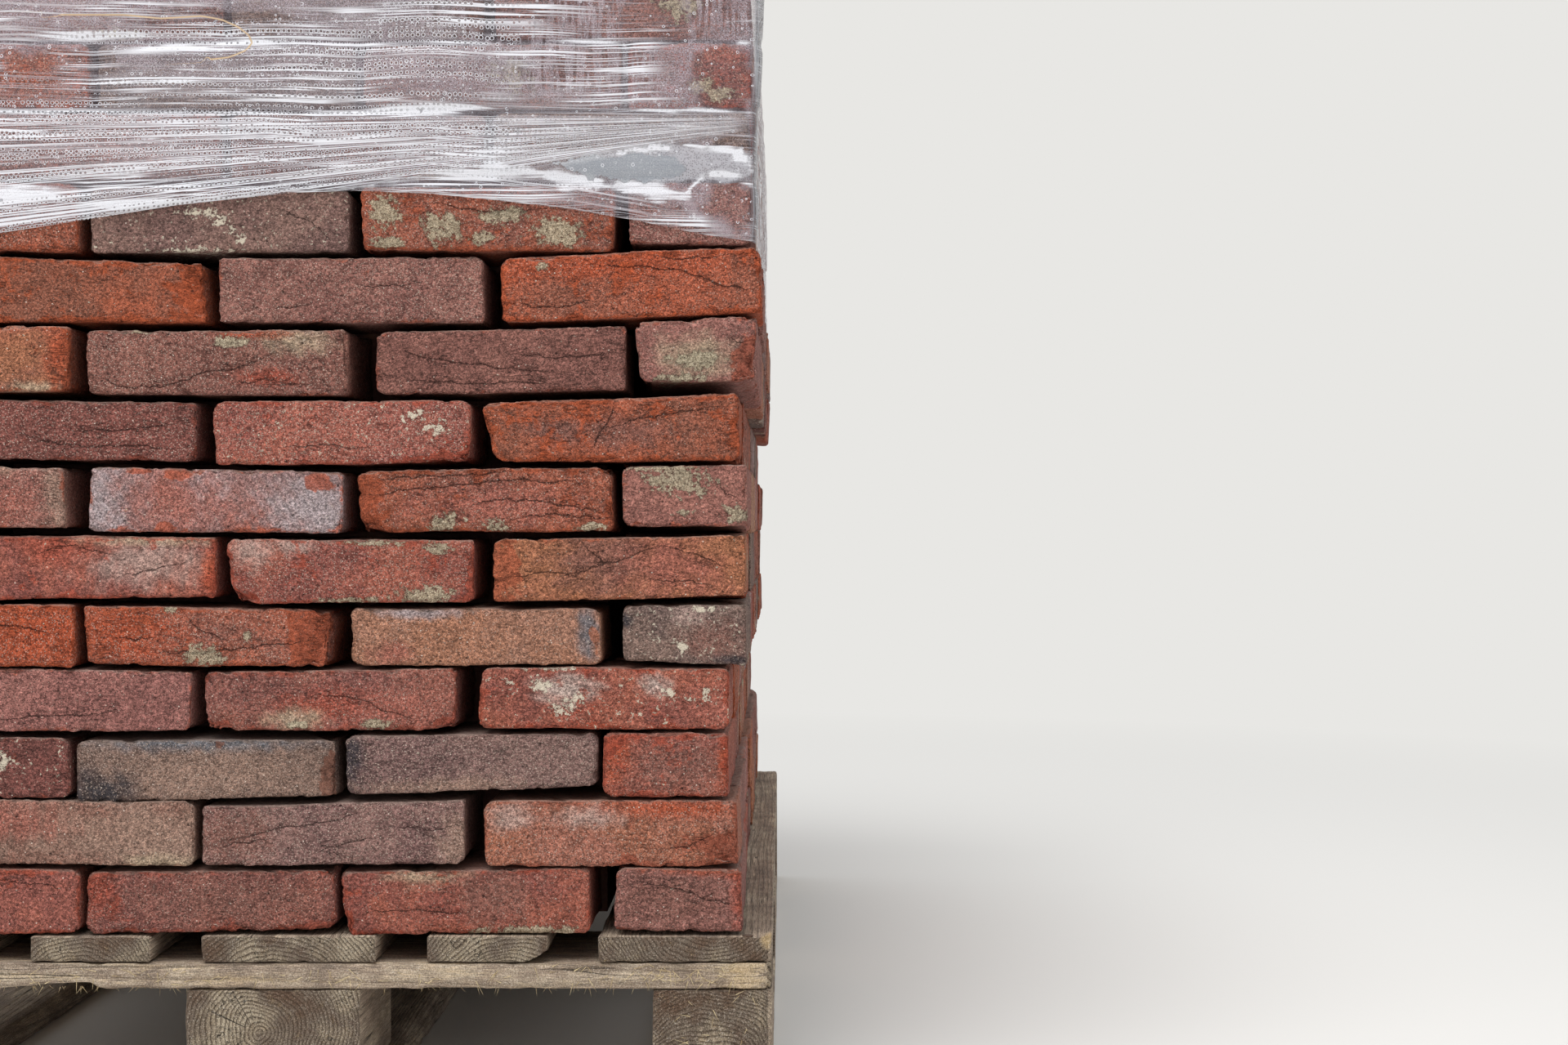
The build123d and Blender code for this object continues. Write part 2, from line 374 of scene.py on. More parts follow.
def timber(node, long_axis, steps):
    """One sawn piece in the place of a CAD node."""
    low, high = box_of(node)
    size, middle = high - low, (low + high) / 2
    chance = random.Random(node)
    every_face = {(axis, side) for axis in range(3) for side in (0, 1)}
    points, faces = box_grid(size, steps, every_face, ease=3 * mm)
    edge = arris_distance(points, size)
    across = [axis for axis in range(3) if axis != long_axis]
    at_end = np.abs(points[:, long_axis]) > size[long_axis] / 2 - 0.5 * mm
    shaped = rounded(points, size, 1.6 * mm)
    shape_timber(node, shaped, size)
    pith = pith_of.get(node, (chance.uniform(-0.6, 0.6), chance.choice((-1, 1)) * chance.uniform(0.8, 2.6)))
    grain = np.empty_like(shaped)
    grain[:, 0] = shaped[:, long_axis] + chance.uniform(0, 50)
    for column, (axis, share) in enumerate(zip(across, pith), start=1):
        grain[:, column] = shaped[:, axis] - share * size[axis]
    torn = fresh_wood(node, shaped, size)
    values = {"grain": grain, "end": at_end.astype(float), "edge": edge, "wear": torn}
    piece = new_piece(node + "_timber", shaped + middle, faces, values)
    apply_tree(piece, sawn)
    hand_over(piece, "pallet_wood", node)


def plane_off(points, half, axes, signs, widths, share=1):
    """Planes an arris off a box's points: the one between the faces on these two axes, at these signs' sides,
    over these widths from it."""
    faces = list(zip(axes, signs, widths))
    over = sum((points[:, axis] * sign - half[axis] + width) / width for axis, sign, width in faces)
    over = np.maximum(over - 1, 0) / 2 * share
    for axis, sign, width in faces:
        points[:, axis] -= over * sign * width


def shape_timber(node, points, size):
    """Takes the pallet's corner bevels, the wane and the runners' chamfers over from the CAD solids."""
    half = size / 2
    bevel, chamfer, wane_width, wane_height = 8 * mm, 10 * mm, 18 * mm, 9 * mm
    if "mid" not in node:
        for row, end in (("front", -1), ("back", 1)):
            for column, side in (("_left", -1), ("_right", 1)):
                at_row = row in node or node.startswith(("deck", "bottom"))
                if at_row and (node.endswith(column) or node.startswith("cross")):
                    plane_off(points, half, (0, 1), (side, end), (bevel, bevel))
    if node == "deck_board_mid_right":
        plane_off(points, half, (0, 2), (1, -1), (wane_width, wane_height))
    if node == "cross_board_front":
        # A splinter was torn off its lower front arris, thin at its left end and deepest at its right one.
        thin_end, deep_end, depth, back = -245 * mm, -155 * mm, 5.5 * mm, 30 * mm
        torn = np.clip((points[:, 0] - thin_end) / (70 * mm), 0, 1)
        torn *= np.clip((deep_end - points[:, 0]) / (9 * mm), 0, 1)
        torn *= np.clip((back - half[1] - points[:, 1]) / (20 * mm), 0, 1)
        points[:, 2] += torn * depth * np.clip(0.5 - points[:, 2] / size[2], 0, 1)
    if node.startswith("bottom"):
        # The chamfers stop short of the blocks.
        stop, block = 20 * mm, 145 * mm
        bay = (size[1] - 3 * block) / 2
        between = bay / 2 - stop - np.abs(np.abs(points[:, 1]) - (block + bay) / 2)
        share = np.clip(between / (8 * mm) + 0.5, 0, 1)
        plane_off(points, half, (0, 2), (np.sign(points[:, 0]), 1), (chamfer, chamfer), share)


def fresh_wood(node, points, size):
    """How straw-coloured each point is: little in general, and much where a corner was torn off."""
    half = size / 2
    wear = np.full(len(points), 0.1 if node.startswith("cross") else 0.0)
    if node == "deck_board_right":
        front_corner = half * (1, -1, 1)
        wear += np.clip(1.5 - np.linalg.norm(points - front_corner, axis=1) / (9 * mm), 0, 1)
    if node == "cross_board_front":
        torn_place = half[0] - 25 * mm
        wear += np.clip(1 - np.abs(points[:, 0] - torn_place) / (30 * mm), 0, 1) * 0.3
    return wear


deck_places = ("left", "mid_left", "centre", "mid_right", "right")
for place in deck_places:
    timber("deck_board_" + place, 1, (4.5 * mm, 24 * mm, 3 * mm))
for row in ("front", "middle", "back"):
    timber("cross_board_" + row, 0, (7 * mm, 16 * mm, 3 * mm))
    for column in ("left", "centre", "right"):
        fine = 4 * mm if row == "front" else 9 * mm
        timber(f"block_{row}_{column}", 1, (fine, 9 * mm, fine))
for column in ("left", "centre", "right"):
    timber("bottom_board_" + column, 1, (10 * mm, 20 * mm, 5 * mm))


def torn_fibres():
    """The tree that hangs torn fibres from a strip: points spread over it each get a thin, slanting one."""
    tree, put, given = start_tree(
        "torn_fibres", Density=20000, Length=7 * mm, Width=0.3 * mm, Fall=0.4, Turn=0.9
    )
    _, density, length, width, fall, turn, _ = given.outputs
    spots = put("GeometryNodeDistributePointsOnFaces", given, {"Density": density, "Seed": 5})
    splinter = put(
        "GeometryNodeMeshCone",
        {"Vertices": 4, "Radius Top": 0.04 * mm, "Radius Bottom": width, "Depth": length},
    )
    fall = put("random", put("times", fall, -1.0), fall, {"Seed": 3})
    turn = put("random", put("less", math.pi, turn), put("sum", math.pi, turn), {"Seed": 4})
    lean = put("vector", fall, turn, 0.0)
    reach = put("vector", 1.0, 1.0, put("random", 0.35, 1.25, {"Seed": 8}))
    laid = {"Instance": splinter, "Rotation": lean, "Scale": reach}
    return end_tree(tree, put("GeometryNodeInstanceOnPoints", spots, laid), pale_fibre())


def pale_fibre():
    """Torn spruce fibre: thin, pale and dry."""
    material, put = new_material("torn_spruce_fibre")
    place = put("ShaderNodeTexCoord").outputs["Object"]
    tone = put("noise", place, 1 / (6 * mm), 2.0)
    tone = put("ramp", tone, stops=((0.35, "#a08a68"), (0.65, "#e0cca2")))
    put("ShaderNodeOutputMaterial", put("surface", {"Base Color": tone, "Roughness": 0.8}))
    return material


fibres_tree = torn_fibres()


def fibres_on(name, node, upright, density, start=0):
    """Fibres torn loose on a CAD node's front: hanging from its lower arris, or lying on its upright face.
    They begin at start, a share of its width."""
    low, high = box_of(node)
    left, right = low[0] + 8 * mm + start * (high[0] - low[0]), high[0] - 14 * mm
    if upright:
        y, bottom, top = low[1] + 0.45 * mm, low[2] + 4 * mm, high[2] - 3 * mm
        places = [(left, y, bottom), (right, y, bottom), (right, y, top), (left, y, top)]
        shape = {"Fall": 0.0, "Turn": 2.2, "Length": 11 * mm, "Width": 0.38 * mm}
    else:
        front, back, z = low[1] + 6 * mm, low[1] + 12 * mm, low[2] + 0.8 * mm
        places = [(left, back, z), (right, back, z), (right, front, z), (left, front, z)]
        shape = {}
    strip = new_piece(name, places, [[0, 1, 2, 3]], {})
    apply_tree(strip, fibres_tree, Density=density, **shape)
    hand_over(strip, "pallet_wood")


fibres_on("fibres_under_cross_board", "cross_board_front", False, 26000)
fibres_on("fibres_on_cross_board", "cross_board_front", True, 9000)
fibres_on("fibres_by_torn_corner", "cross_board_front", True, 24000, 0.84)
fibres_on("fibres_on_right_block", "block_front_right", True, 5000)


# The nails
#
# Ring-shank wire nails, three for each crossing of a deck board and a cross board, driven flush and rusted.
# Only their heads show. Those at the front edge lie beside the lowest bricks.

nail_head, nail_edge = 9 * mm, 1.5 * mm


def rusted_steel():
    """Bright-drawn steel wire after years outside: dark brown rust, dull and pitted."""
    material, put = new_material("rusted_wire_nail")
    place = put("ShaderNodeTexCoord").outputs["Object"]
    pits = put("noise", place, 1 / (2 * mm), 4.0, 0.7)
    tone = put("ramp", pits, stops=((0.35, "#3a2c25"), (0.55, "#5a4436"), (0.7, "#7a5f4a")))
    bump = put("bump", 0.5, 0.4 * mm, {"Height": pits})
    looks = {"Base Color": tone, "Roughness": 0.7, "Metallic": 0.35, "Normal": bump}
    put("ShaderNodeOutputMaterial", put("surface", looks))
    return material


def drive_nails():
    """The tree that sets a nail head on every point."""
    tree, put, given = start_tree("nails", Radius=nail_head / 2, Thickness=nail_edge)
    head = put(
        "GeometryNodeMeshCylinder",
        {"Vertices": 14, "Radius": given.outputs["Radius"], "Depth": given.outputs["Thickness"]},
    )
    least, most = (-0.03, -0.03, 0), (0.03, 0.03, 3)
    turn = put("random", least, most, {"Seed": 2}, data_type="FLOAT_VECTOR")
    heads = put("GeometryNodeInstanceOnPoints", given, {"Instance": head, "Rotation": turn})
    return end_tree(tree, heads, rusted_steel())


nail_places = []
for place in deck_places:
    deck_low, deck_high = box_of("deck_board_" + place)
    for row in ("front", "middle", "back"):
        cross_low, cross_high = box_of("cross_board_" + row)
        chance = random.Random(place + row)
        for across, along in ((0.2, 0.24), (0.5, 0.7), (0.73, 0.3)):
            x = deck_low[0] + (deck_high[0] - deck_low[0]) * across + chance.uniform(-6, 6) * mm
            y = cross_low[1] + (cross_high[1] - cross_low[1]) * along + chance.uniform(-6, 6) * mm
            nail_places.append((x, y, deck_high[2] - nail_edge / 2 - 0.25 * mm))
# One more holds the right-hand board at its front edge.
nail_places.append((379 * mm, deck_low[1] + 5.6 * mm, deck_high[2] - nail_edge / 2 - 0.1 * mm))
nails = new_piece("nails", nail_places, [], {})
apply_tree(nails, drive_nails())
hand_over(nails, "pallet_wood")


# The bricks
#
# Hand-moulded clay bricks, thrown into a sanded mould, fired unevenly and cleaned of old lime mortar.
# They lie dry on each other. The sand skin is worn through to the redder body at arrises and in patches.

# What each kind of firing gives: the sand skin's colour, that of its clouds and the body's under it, how far
# the skin is worn, how many pale grains it holds, and how strongly the clay was folded.
firings = {
    "red": ("#a2604f", "#8f564c", "#a64f3b", 0.36, 0.30, 0.5),
    "brown_red": ("#955d50", "#86554d", "#9c4f3e", 0.34, 0.26, 0.5),
    "orange": ("#a05d49", "#8b584b", "#a35136", 0.40, 0.24, 0.9),
    "bright_orange": ("#a65b43", "#8f5846", "#aa5030", 0.40, 0.26, 0.9),
    "salmon": ("#a06a58", "#a16952", "#9c5742", 0.34, 0.22, 0.3),
    "plum": ("#8e6156", "#80564d", "#964f3d", 0.24, 0.26, 0.6),
    "dark_plum": ("#85534b", "#764b44", "#8e4838", 0.28, 0.26, 0.8),
    "mauve": ("#9a6a60", "#8d5f57", "#9e5541", 0.26, 0.32, 0.5),
    "grape": ("#866860", "#7a5d58", "#8d5a4c", 0.14, 0.30, 0.4),
    "slate": ("#866c61", "#745e57", "#875a4b", 0.12, 0.28, 0.4),
    "taupe": ("#967669", "#95695c", "#98634f", 0.20, 0.26, 0.3),
    "tan": ("#a87c68", "#a97860", "#a2654c", 0.14, 0.12, 0.2),
    "fired_tan": ("#a2664f", "#a96c4f", "#a8583e", 0.22, 0.18, 0.5),
    "bloomed": ("#9c7670", "#a5685b", "#b25b41", 0.30, 0.40, 0.3),
}
# The other tones that an area of a face can have.
tones = {
    "plum": "#81594f", "tan": "#a16b4e", "ash": "#a99d9f", "chalk": "#c3b0a6", "rose": "#9e6053",
    "soot": "#2c3037", "blue": "#666b72", "dust": "#b0948a", "rust": "#a64e32", "brick": "#a0503f",
    "beige": "#ab977f", "stone": "#987b6c",
}

# The front bricks of each course, from the lowest up and from the right-hand corner leftwards. The eight
# numbers are how far a brick's corners stand from its place, in mm to the right and up: the top left, top
# right, bottom right and bottom left one. The usual ones are for bricks that hardly show in the photograph.
usual = (0, -1, -2, -2, -1, 1, 0, 1)
front_bricks = [
    [("mauve", (1, -1.5, -1, -2, 0, 2.5, -1.5, 4)), ("red", (0, -5, -3, -1, -2, 1, 4, 0)),
     ("brown_red", (1, -5, -1, -2, -1, 4, -1, 0)), ("red", usual)],
    [("salmon", (0, -2, -3, -1, 0, 0, 1, 0)), ("grape", (1, -6, -2, -1.5, -2, 2, 1, 1)),
     ("taupe", (0, -1, -3, -2, -3, 0, 0, 2)), ("red", usual)],
    [("red", (1, -1.5, -1, -2, -1, 1.5, 0, 2)), ("grape", (2, -4, -1, -2, -1, 10, 3, 3)),
     ("slate", (1, -8, -2, -8, -1, 3, 0, -4)), ("dark_plum", (0, -5, -4, -6, -2, 1, 0, 1))],
    [("red", (1, -0.5, -2, -1, -2, 1, -1, 1.5)), ("brown_red", (1, -5, -4, -1.5, -5, 1, 5, 0)),
     ("mauve", (0, -1, -4, -4, -5, 0, 0, 0)), ("red", usual)],
    [("slate", (2, -2, -0.5, -1, -0.5, 1, 3, 5)), ("tan", (1, -4, -3, -4.5, -2, 1.5, 1, 1)),
     ("orange", (1.5, -2, -5, -5, -10, 0, 5, 1)), ("bright_orange", (0, 2, -3, -1, -2, 0, 0, 1))],
    [("fired_tan", (0, -5, -1, -1, 0, 6, 1, 1)), ("red", (1, -4, -3, -5, -3, 1, 8, 0)),
     ("red", (0, -1, -3, -3, -3, 5, 0, 3)), ("plum", usual)],
    [("mauve", (1, -2, -1, 0, 0, 6, 2, 6)), ("orange", (2, -5, -2, -1.5, -1, 2, 5, 1.5)),
     ("bloomed", (2, -1.5, -4, -6, -5, 1, 1, 2)), ("mauve", (0, -2, -10, -2, -8, 5, 0, 4))],
    [("bright_orange", (2, -6, -3, 2, -2, 3, 14, 3)), ("red", (0, -5, -4, -4, -4, 1, 4, 0)),
     ("dark_plum", (0, -2, -5, -5, -6, 3, 0, 5)), ("orange", usual)],
    [("mauve", (2, 2, -2, 7.5, -2, 12, 6, 11)), ("plum", (2, -6, -2, -1.5, -2, 5, 2, 1)),
     ("plum", (0, -5, -5, -4, -4, 0, 1, 1)), ("orange", (0, 1, -5, -2, -6, 3, 0, 3))],
    [("bright_orange", (2, -5, -2, 5, 0, 10, 2, 1)), ("mauve", (1, -4.5, -2, -3, -1, 1, 1.5, 2)),
     ("bright_orange", (0, -2, -8, -9, -5, 1, 0, 3)), ("red", usual)],
    [("mauve", (2, -2, -1, -2, -1, 6, 3, 7)), ("orange", (2, -5, -3, -4, -5, 1, 4, 2)),
     ("grape", (0, -5, -4, -8, -5, 1, 0, 0)), ("orange", (0, -1, -6, -2, -6, 1, 0, 1))],
    [("slate", (1, -2, -2, -1, -1, 2, 1, 1)), ("plum", (1, -3, -2, -4, -2, 1, 2, 1)),
     ("mauve", (1, -2, -3, -2, -2, 2, 1, 1)), ("red", usual)],
    [("red", (1, -1, -2, -2, -1, 1, 2, 1)), ("plum", (2, -4, -2, -2, -2, 1, 1, 2)),
     ("slate", (1, -2, -2, -3, -3, 1, 2, 1)), ("orange", usual)],
    [("plum", (1, -3, -2, -1, -1, 1, 2, 1)), ("slate", (1, -2, -3, -3, -2, 1, 1, 1)),
     ("plum", (1, -1, -2, -2, -1, 1, 0, 1)), ("red", usual)],
]

# What else marks a front brick, by course and by place from the right, both from 1: areas of mortar, lime,
# bare body or another tone, bites out of an arris or corner, and lines where the clay folded in the mould.
# An area is its kind, its place across and up the face from 0 to 1, and its half width and half height in
# mm. A bite ends with its depth as well. A fold is a line of places across and up. Above the last clear
# course the film hides most marks, so a brick without any here has one at random.
last_clear_course = 11
front_marks = {
    (1, 1): [("brick", 0.99, 0.6, 6, 30), ("rust", 0.85, 0.97, 40, 4), ("plum", 0.45, 0.5, 40, 22)],
    (1, 2): [("bite", 0.01, 0.15, 8, 12, 5), ("beige", 0.35, 0.92, 26, 7), ("mortar", 0.75, 0.03, 40, 5),
        ("plum", 0.62, 0.6, 26, 20)],
    (1, 3): [("bite", 0.99, 0.97, 10, 7, 5), ("brick", 0.04, 0.8, 14, 22), ("plum", 0.55, 0.5, 60, 18)],
    (2, 1): [("bite", 0.94, 0.12, 16, 22, 7), ("dust", 0.1, 0.75, 16, 8), ("dust", 0.42, 0.78, 20, 8),
        ("rust", 0.75, 0.92, 50, 7), ("bite", 0.58, 0.02, 16, 10, 3)],
    (2, 2): [("plum", 0.1, 0.5, 30, 24), ("stone", 0.97, 0.3, 14, 20)],
    (2, 3): [("stone", 0.8, 0.4, 60, 26), ("rose", 0.25, 0.7, 40, 14), ("beige", 0.9, 0.05, 30, 6)],
    (3, 1): [("rust", 0.1, 0.6, 9, 20), ("bare", 0.07, 0.85, 14, 10), ("plum", 0.6, 0.45, 34, 20),
        ("rust", 0.97, 0.6, 4, 20)],
    (3, 2): [("soot", 0.02, 0.6, 9, 24), ("stone", 0.4, 0.1, 50, 6)],
    (3, 3): [("stone", 0.5, 0.4, 60, 20), ("blue", 0.45, 0.97, 70, 6), ("soot", 0.09, 0.17, 26, 15),
        ("bite", 0.99, 0.35, 12, 22, 5), ("bite", 0.55, 0.9, 4, 4, 3)],
    (3, 4): [("lime", 0.66, 0.4, 12, 8), ("lime", 0.74, 0.62, 6, 7)],
    (4, 1): [("lime", 0.24, 0.7, 6, 5), ("lime", 0.33, 0.36, 8, 5), ("lime", 0.4, 0.5, 5, 6),
        ("lime", 0.76, 0.6, 6, 3), ("lime", 0.83, 0.5, 6, 3), ("lime", 0.9, 0.6, 3, 5),
        ("lime", 0.3, 0.99, 20, 1.5), ("chalk", 0.34, 0.62, 20, 10), ("chalk", 0.7, 0.72, 10, 7),
        ("rose", 0.95, 0.3, 24, 20)],
    (4, 2): [("bite", 0.03, 0.04, 12, 9, 6), ("bite", 0.97, 0.05, 12, 8, 5), ("brick", 0.5, 0.4, 34, 12),
        ("rose", 0.75, 0.3, 34, 14), ("beige", 0.35, 0.2, 18, 7), ("mortar", 0.35, 0.1, 10, 3),
        ("mortar", 0.68, 0.08, 16, 4)],
    (5, 1): [("lime", 0.5, 0.25, 4, 3), ("lime", 0.62, 0.93, 14, 3), ("plum", 0.75, 0.4, 22, 14),
        ("dust", 0.55, 0.85, 14, 6), ("soot", 0.03, 0.75, 4, 6), ("soot", 0.85, 0.08, 14, 4)],
    (5, 2): [("blue", 0.95, 0.6, 7, 20), ("bare", 0.975, 0.45, 4, 15), ("ash", 0.28, 0.93, 30, 4),
        ("rose", 0.16, 0.2, 14, 9)],
    (5, 3): [("bite", 0.98, 0.5, 20, 40, 6), ("mortar", 0.46, 0.2, 13, 9), ("mortar", 0.54, 0.12, 9, 6),
        ("mortar", 0.66, 0.53, 6, 4), ("bare", 0.93, 0.5, 26, 34), ("mortar", 0.35, 0.97, 5, 4),
        ("rust", 0.15, 0.6, 40, 26)],
    (5, 4): [("rust", 0.7, 0.5, 90, 30)],
    (6, 1): [("bare", 0.04, 0.5, 11, 30), ("tan", 0.2, 0.6, 34, 26), ("plum", 0.45, 0.6, 34, 26),
        ("rose", 0.72, 0.5, 34, 24), ("tan", 0.92, 0.8, 22, 9), ("tan", 0.98, 0.3, 8, 12)],
    (6, 2): [("bite", 0.02, 0.06, 13, 11, 7), ("mortar", 0.8, 0.1, 26, 8), ("mortar", 0.48, 0.03, 24, 3),
        ("mortar", 0.6, 0.96, 20, 3), ("mortar", 0.86, 0.88, 12, 5), ("dust", 0.1, 0.8, 12, 12),
        ("dust", 0.27, 0.88, 12, 7)],
    (6, 3): [("dust", 0.72, 0.6, 40, 18), ("rust", 0.98, 0.4, 6, 26), ("brick", 0.4, 0.8, 30, 12),
        ("beige", 0.7, 0.97, 50, 4)],
    (7, 1): [("mortar", 0.47, 0.74, 25, 12), ("mortar", 0.9, 0.2, 11, 8), ("mortar", 0.5, 0.22, 9, 3),
        ("mortar", 0.3, 0.97, 24, 3)],
    (7, 2): [("bite", 0.03, 0.05, 16, 12, 7), ("mortar", 0.34, 0.16, 13, 9), ("mortar", 0.53, 0.08, 10, 6),
        ("mortar", 0.92, 0.04, 12, 4), ("bare", 0.04, 0.5, 15, 34), ("rose", 0.5, 0.45, 60, 16),
        ("bite", 0.98, 0.97, 8, 6, 4)],
    (7, 3): [("ash", 0.06, 0.4, 24, 30), ("ash", 0.9, 0.35, 38, 26), ("ash", 0.45, 0.72, 16, 16),
        ("bare", 0.2, 0.95, 8, 4), ("bare", 0.36, 0.9, 12, 6), ("bare", 0.9, 0.82, 14, 8),
        ("bare", 0.3, 0.06, 6, 6), ("rose", 0.35, 0.5, 40, 22)],
    (7, 4): [("stone", 0.98, 0.5, 12, 30), ("rose", 0.7, 0.4, 30, 20), ("beige", 0.5, 0.95, 40, 5)],
    (8, 1): [("plum", 0.25, 0.5, 18, 10), ("plum", 0.5, 0.45, 40, 12), ("bite", 0.985, 0.55, 5, 4, 6)],
    (8, 2): [("bite", 0.99, 0.05, 10, 12, 6), ("lime", 0.75, 0.72, 6, 4), ("lime", 0.8, 0.78, 6, 4),
        ("lime", 0.88, 0.52, 6, 6), ("lime", 0.83, 0.56, 5, 3), ("rose", 0.5, 0.6, 70, 20),
        ("bite", 0.86, 0.0, 22, 8, 4)],
    (9, 1): [("beige", 0.5, 0.4, 28, 15), ("mortar", 0.5, 0.34, 20, 9), ("bare", 0.93, 0.28, 14, 16),
        ("bite", 0.95, 0.25, 14, 18, 6), ("mortar", 0.35, 0.05, 24, 4)],
    (9, 3): [("mortar", 0.2, 0.97, 12, 2), ("mortar", 0.55, 0.82, 18, 5), ("beige", 0.8, 0.85, 26, 9),
        ("brick", 0.68, 0.28, 22, 6), ("rust", 0.62, 0.95, 26, 4)],
    (9, 4): [("tan", 0.7, 0.5, 50, 24), ("beige", 0.86, 0.06, 20, 4), ("rust", 0.96, 0.6, 9, 26)],
    (10, 1): [("rust", 0.4, 0.85, 80, 10), ("mortar", 0.16, 0.86, 4, 4)],
    (10, 3): [("bare", 0.95, 0.5, 22, 30), ("bite", 0.99, 0.6, 14, 24, 5)],
    (11, 2): [("mortar", 0.32, 0.35, 18, 13), ("mortar", 0.78, 0.28, 22, 12), ("mortar", 0.1, 0.6, 12, 16),
        ("mortar", 0.48, 0.2, 9, 6), ("mortar", 0.55, 0.55, 16, 8), ("mortar", 0.1, 0.12, 12, 6)],
    (11, 3): [("lime", 0.38, 0.62, 8, 3), ("lime", 0.46, 0.64, 6, 4), ("lime", 0.51, 0.5, 5, 5),
        ("lime", 0.545, 0.34, 3.5, 4), ("lime", 0.585, 0.19, 5, 5), ("lime", 0.47, 0.46, 2.5, 2),
        ("lime", 0.4, 0.02, 30, 2)],
    (13, 1): [("mortar", 0.6, 0.35, 14, 7), ("mortar", 0.75, 0.22, 12, 6), ("plum", 0.25, 0.5, 26, 22)],
}
front_folds = {
    (1, 1): [[(0.15, 0.78), (0.5, 0.68), (0.75, 0.5), (0.97, 0.42)]],
    (1, 2): [[(0.1, 0.35), (0.3, 0.4), (0.5, 0.32)]],
    (1, 4): [[(0.45, 0.9), (0.75, 0.8), (0.97, 0.72)]],
    (2, 1): [[(0.7, 0.25), (0.8, 0.3), (0.9, 0.5)]],
    (2, 2): [[(0.1, 0.42), (0.3, 0.62), (0.5, 0.72), (0.62, 0.85)], [(0.05, 0.3), (0.25, 0.42)],
        [(0.42, 0.18), (0.55, 0.35), (0.66, 0.42)], [(0.72, 0.62), (0.86, 0.55), (0.97, 0.62)]],
    (4, 2): [[(0.45, 0.62), (0.62, 0.5), (0.74, 0.3), (0.86, 0.2)]],
    (4, 3): [[(0.2, 0.2), (0.5, 0.25), (0.75, 0.35)]],
    (5, 3): [[(0.3, 0.22), (0.5, 0.24), (0.66, 0.32), (0.9, 0.45)],
        [(0.4, 0.92), (0.46, 0.62), (0.58, 0.45)], [(0.1, 0.5), (0.2, 0.42), (0.28, 0.5)]],
    (5, 4): [[(0.4, 0.5), (0.7, 0.68), (0.9, 0.55)]],
    (6, 1): [[(0.06, 0.38), (0.22, 0.45), (0.34, 0.43), (0.45, 0.6), (0.56, 0.72), (0.66, 0.86)],
        [(0.66, 0.86), (0.8, 0.72), (0.93, 0.46)], [(0.36, 0.9), (0.44, 0.6)],
        [(0.6, 0.3), (0.75, 0.27), (0.87, 0.16)]],
    (6, 3): [[(0.3, 0.72), (0.42, 0.85), (0.6, 0.7)], [(0.62, 0.35), (0.75, 0.45), (0.9, 0.62)]],
    (7, 1): [[(0.75, 0.85), (0.8, 0.6), (0.95, 0.42)]],
    (7, 2): [[(0.06, 0.6), (0.2, 0.68), (0.4, 0.76), (0.6, 0.8), (0.85, 0.78)],
        [(0.44, 0.42), (0.56, 0.52), (0.72, 0.48), (0.94, 0.32)], [(0.62, 0.22), (0.8, 0.28), (0.97, 0.2)],
        [(0.1, 0.86), (0.35, 0.9), (0.6, 0.94)]],
    (8, 1): [[(0.52, 0.95), (0.48, 0.6), (0.4, 0.2)], [(0.5, 0.55), (0.7, 0.72), (0.92, 0.8)]],
    (8, 2): [[(0.28, 0.28), (0.4, 0.3), (0.6, 0.27)]],
    (8, 3): [[(0.35, 0.36), (0.55, 0.22), (0.75, 0.25), (0.9, 0.2)],
        [(0.5, 0.5), (0.75, 0.52), (0.9, 0.62)]],
    (9, 1): [[(0.72, 0.75), (0.85, 0.6), (0.95, 0.65)]],
    (9, 2): [[(0.08, 0.7), (0.2, 0.55), (0.45, 0.42), (0.7, 0.3)], [(0.55, 0.6), (0.75, 0.52), (0.95, 0.6)],
        [(0.1, 0.2), (0.4, 0.15), (0.7, 0.12)]],
    (9, 3): [[(0.04, 0.25), (0.15, 0.12), (0.3, 0.14), (0.45, 0.36), (0.6, 0.45), (0.7, 0.6)],
        [(0.55, 0.2), (0.7, 0.24), (0.85, 0.16)]],
    (10, 1): [[(0.38, 0.82), (0.52, 0.78), (0.7, 0.68), (0.86, 0.42), (0.97, 0.36)],
        [(0.6, 0.92), (0.72, 0.86), (0.86, 0.9)], [(0.05, 0.3), (0.2, 0.22), (0.35, 0.28)]],
    (10, 2): [[(0.52, 0.6), (0.62, 0.56), (0.75, 0.62)], [(0.2, 0.2), (0.35, 0.3)]],
    (11, 2): [[(0.3, 0.75), (0.5, 0.6), (0.7, 0.62)]],
    (11, 3): [[(0.72, 0.7), (0.85, 0.5), (0.92, 0.2)]],
}


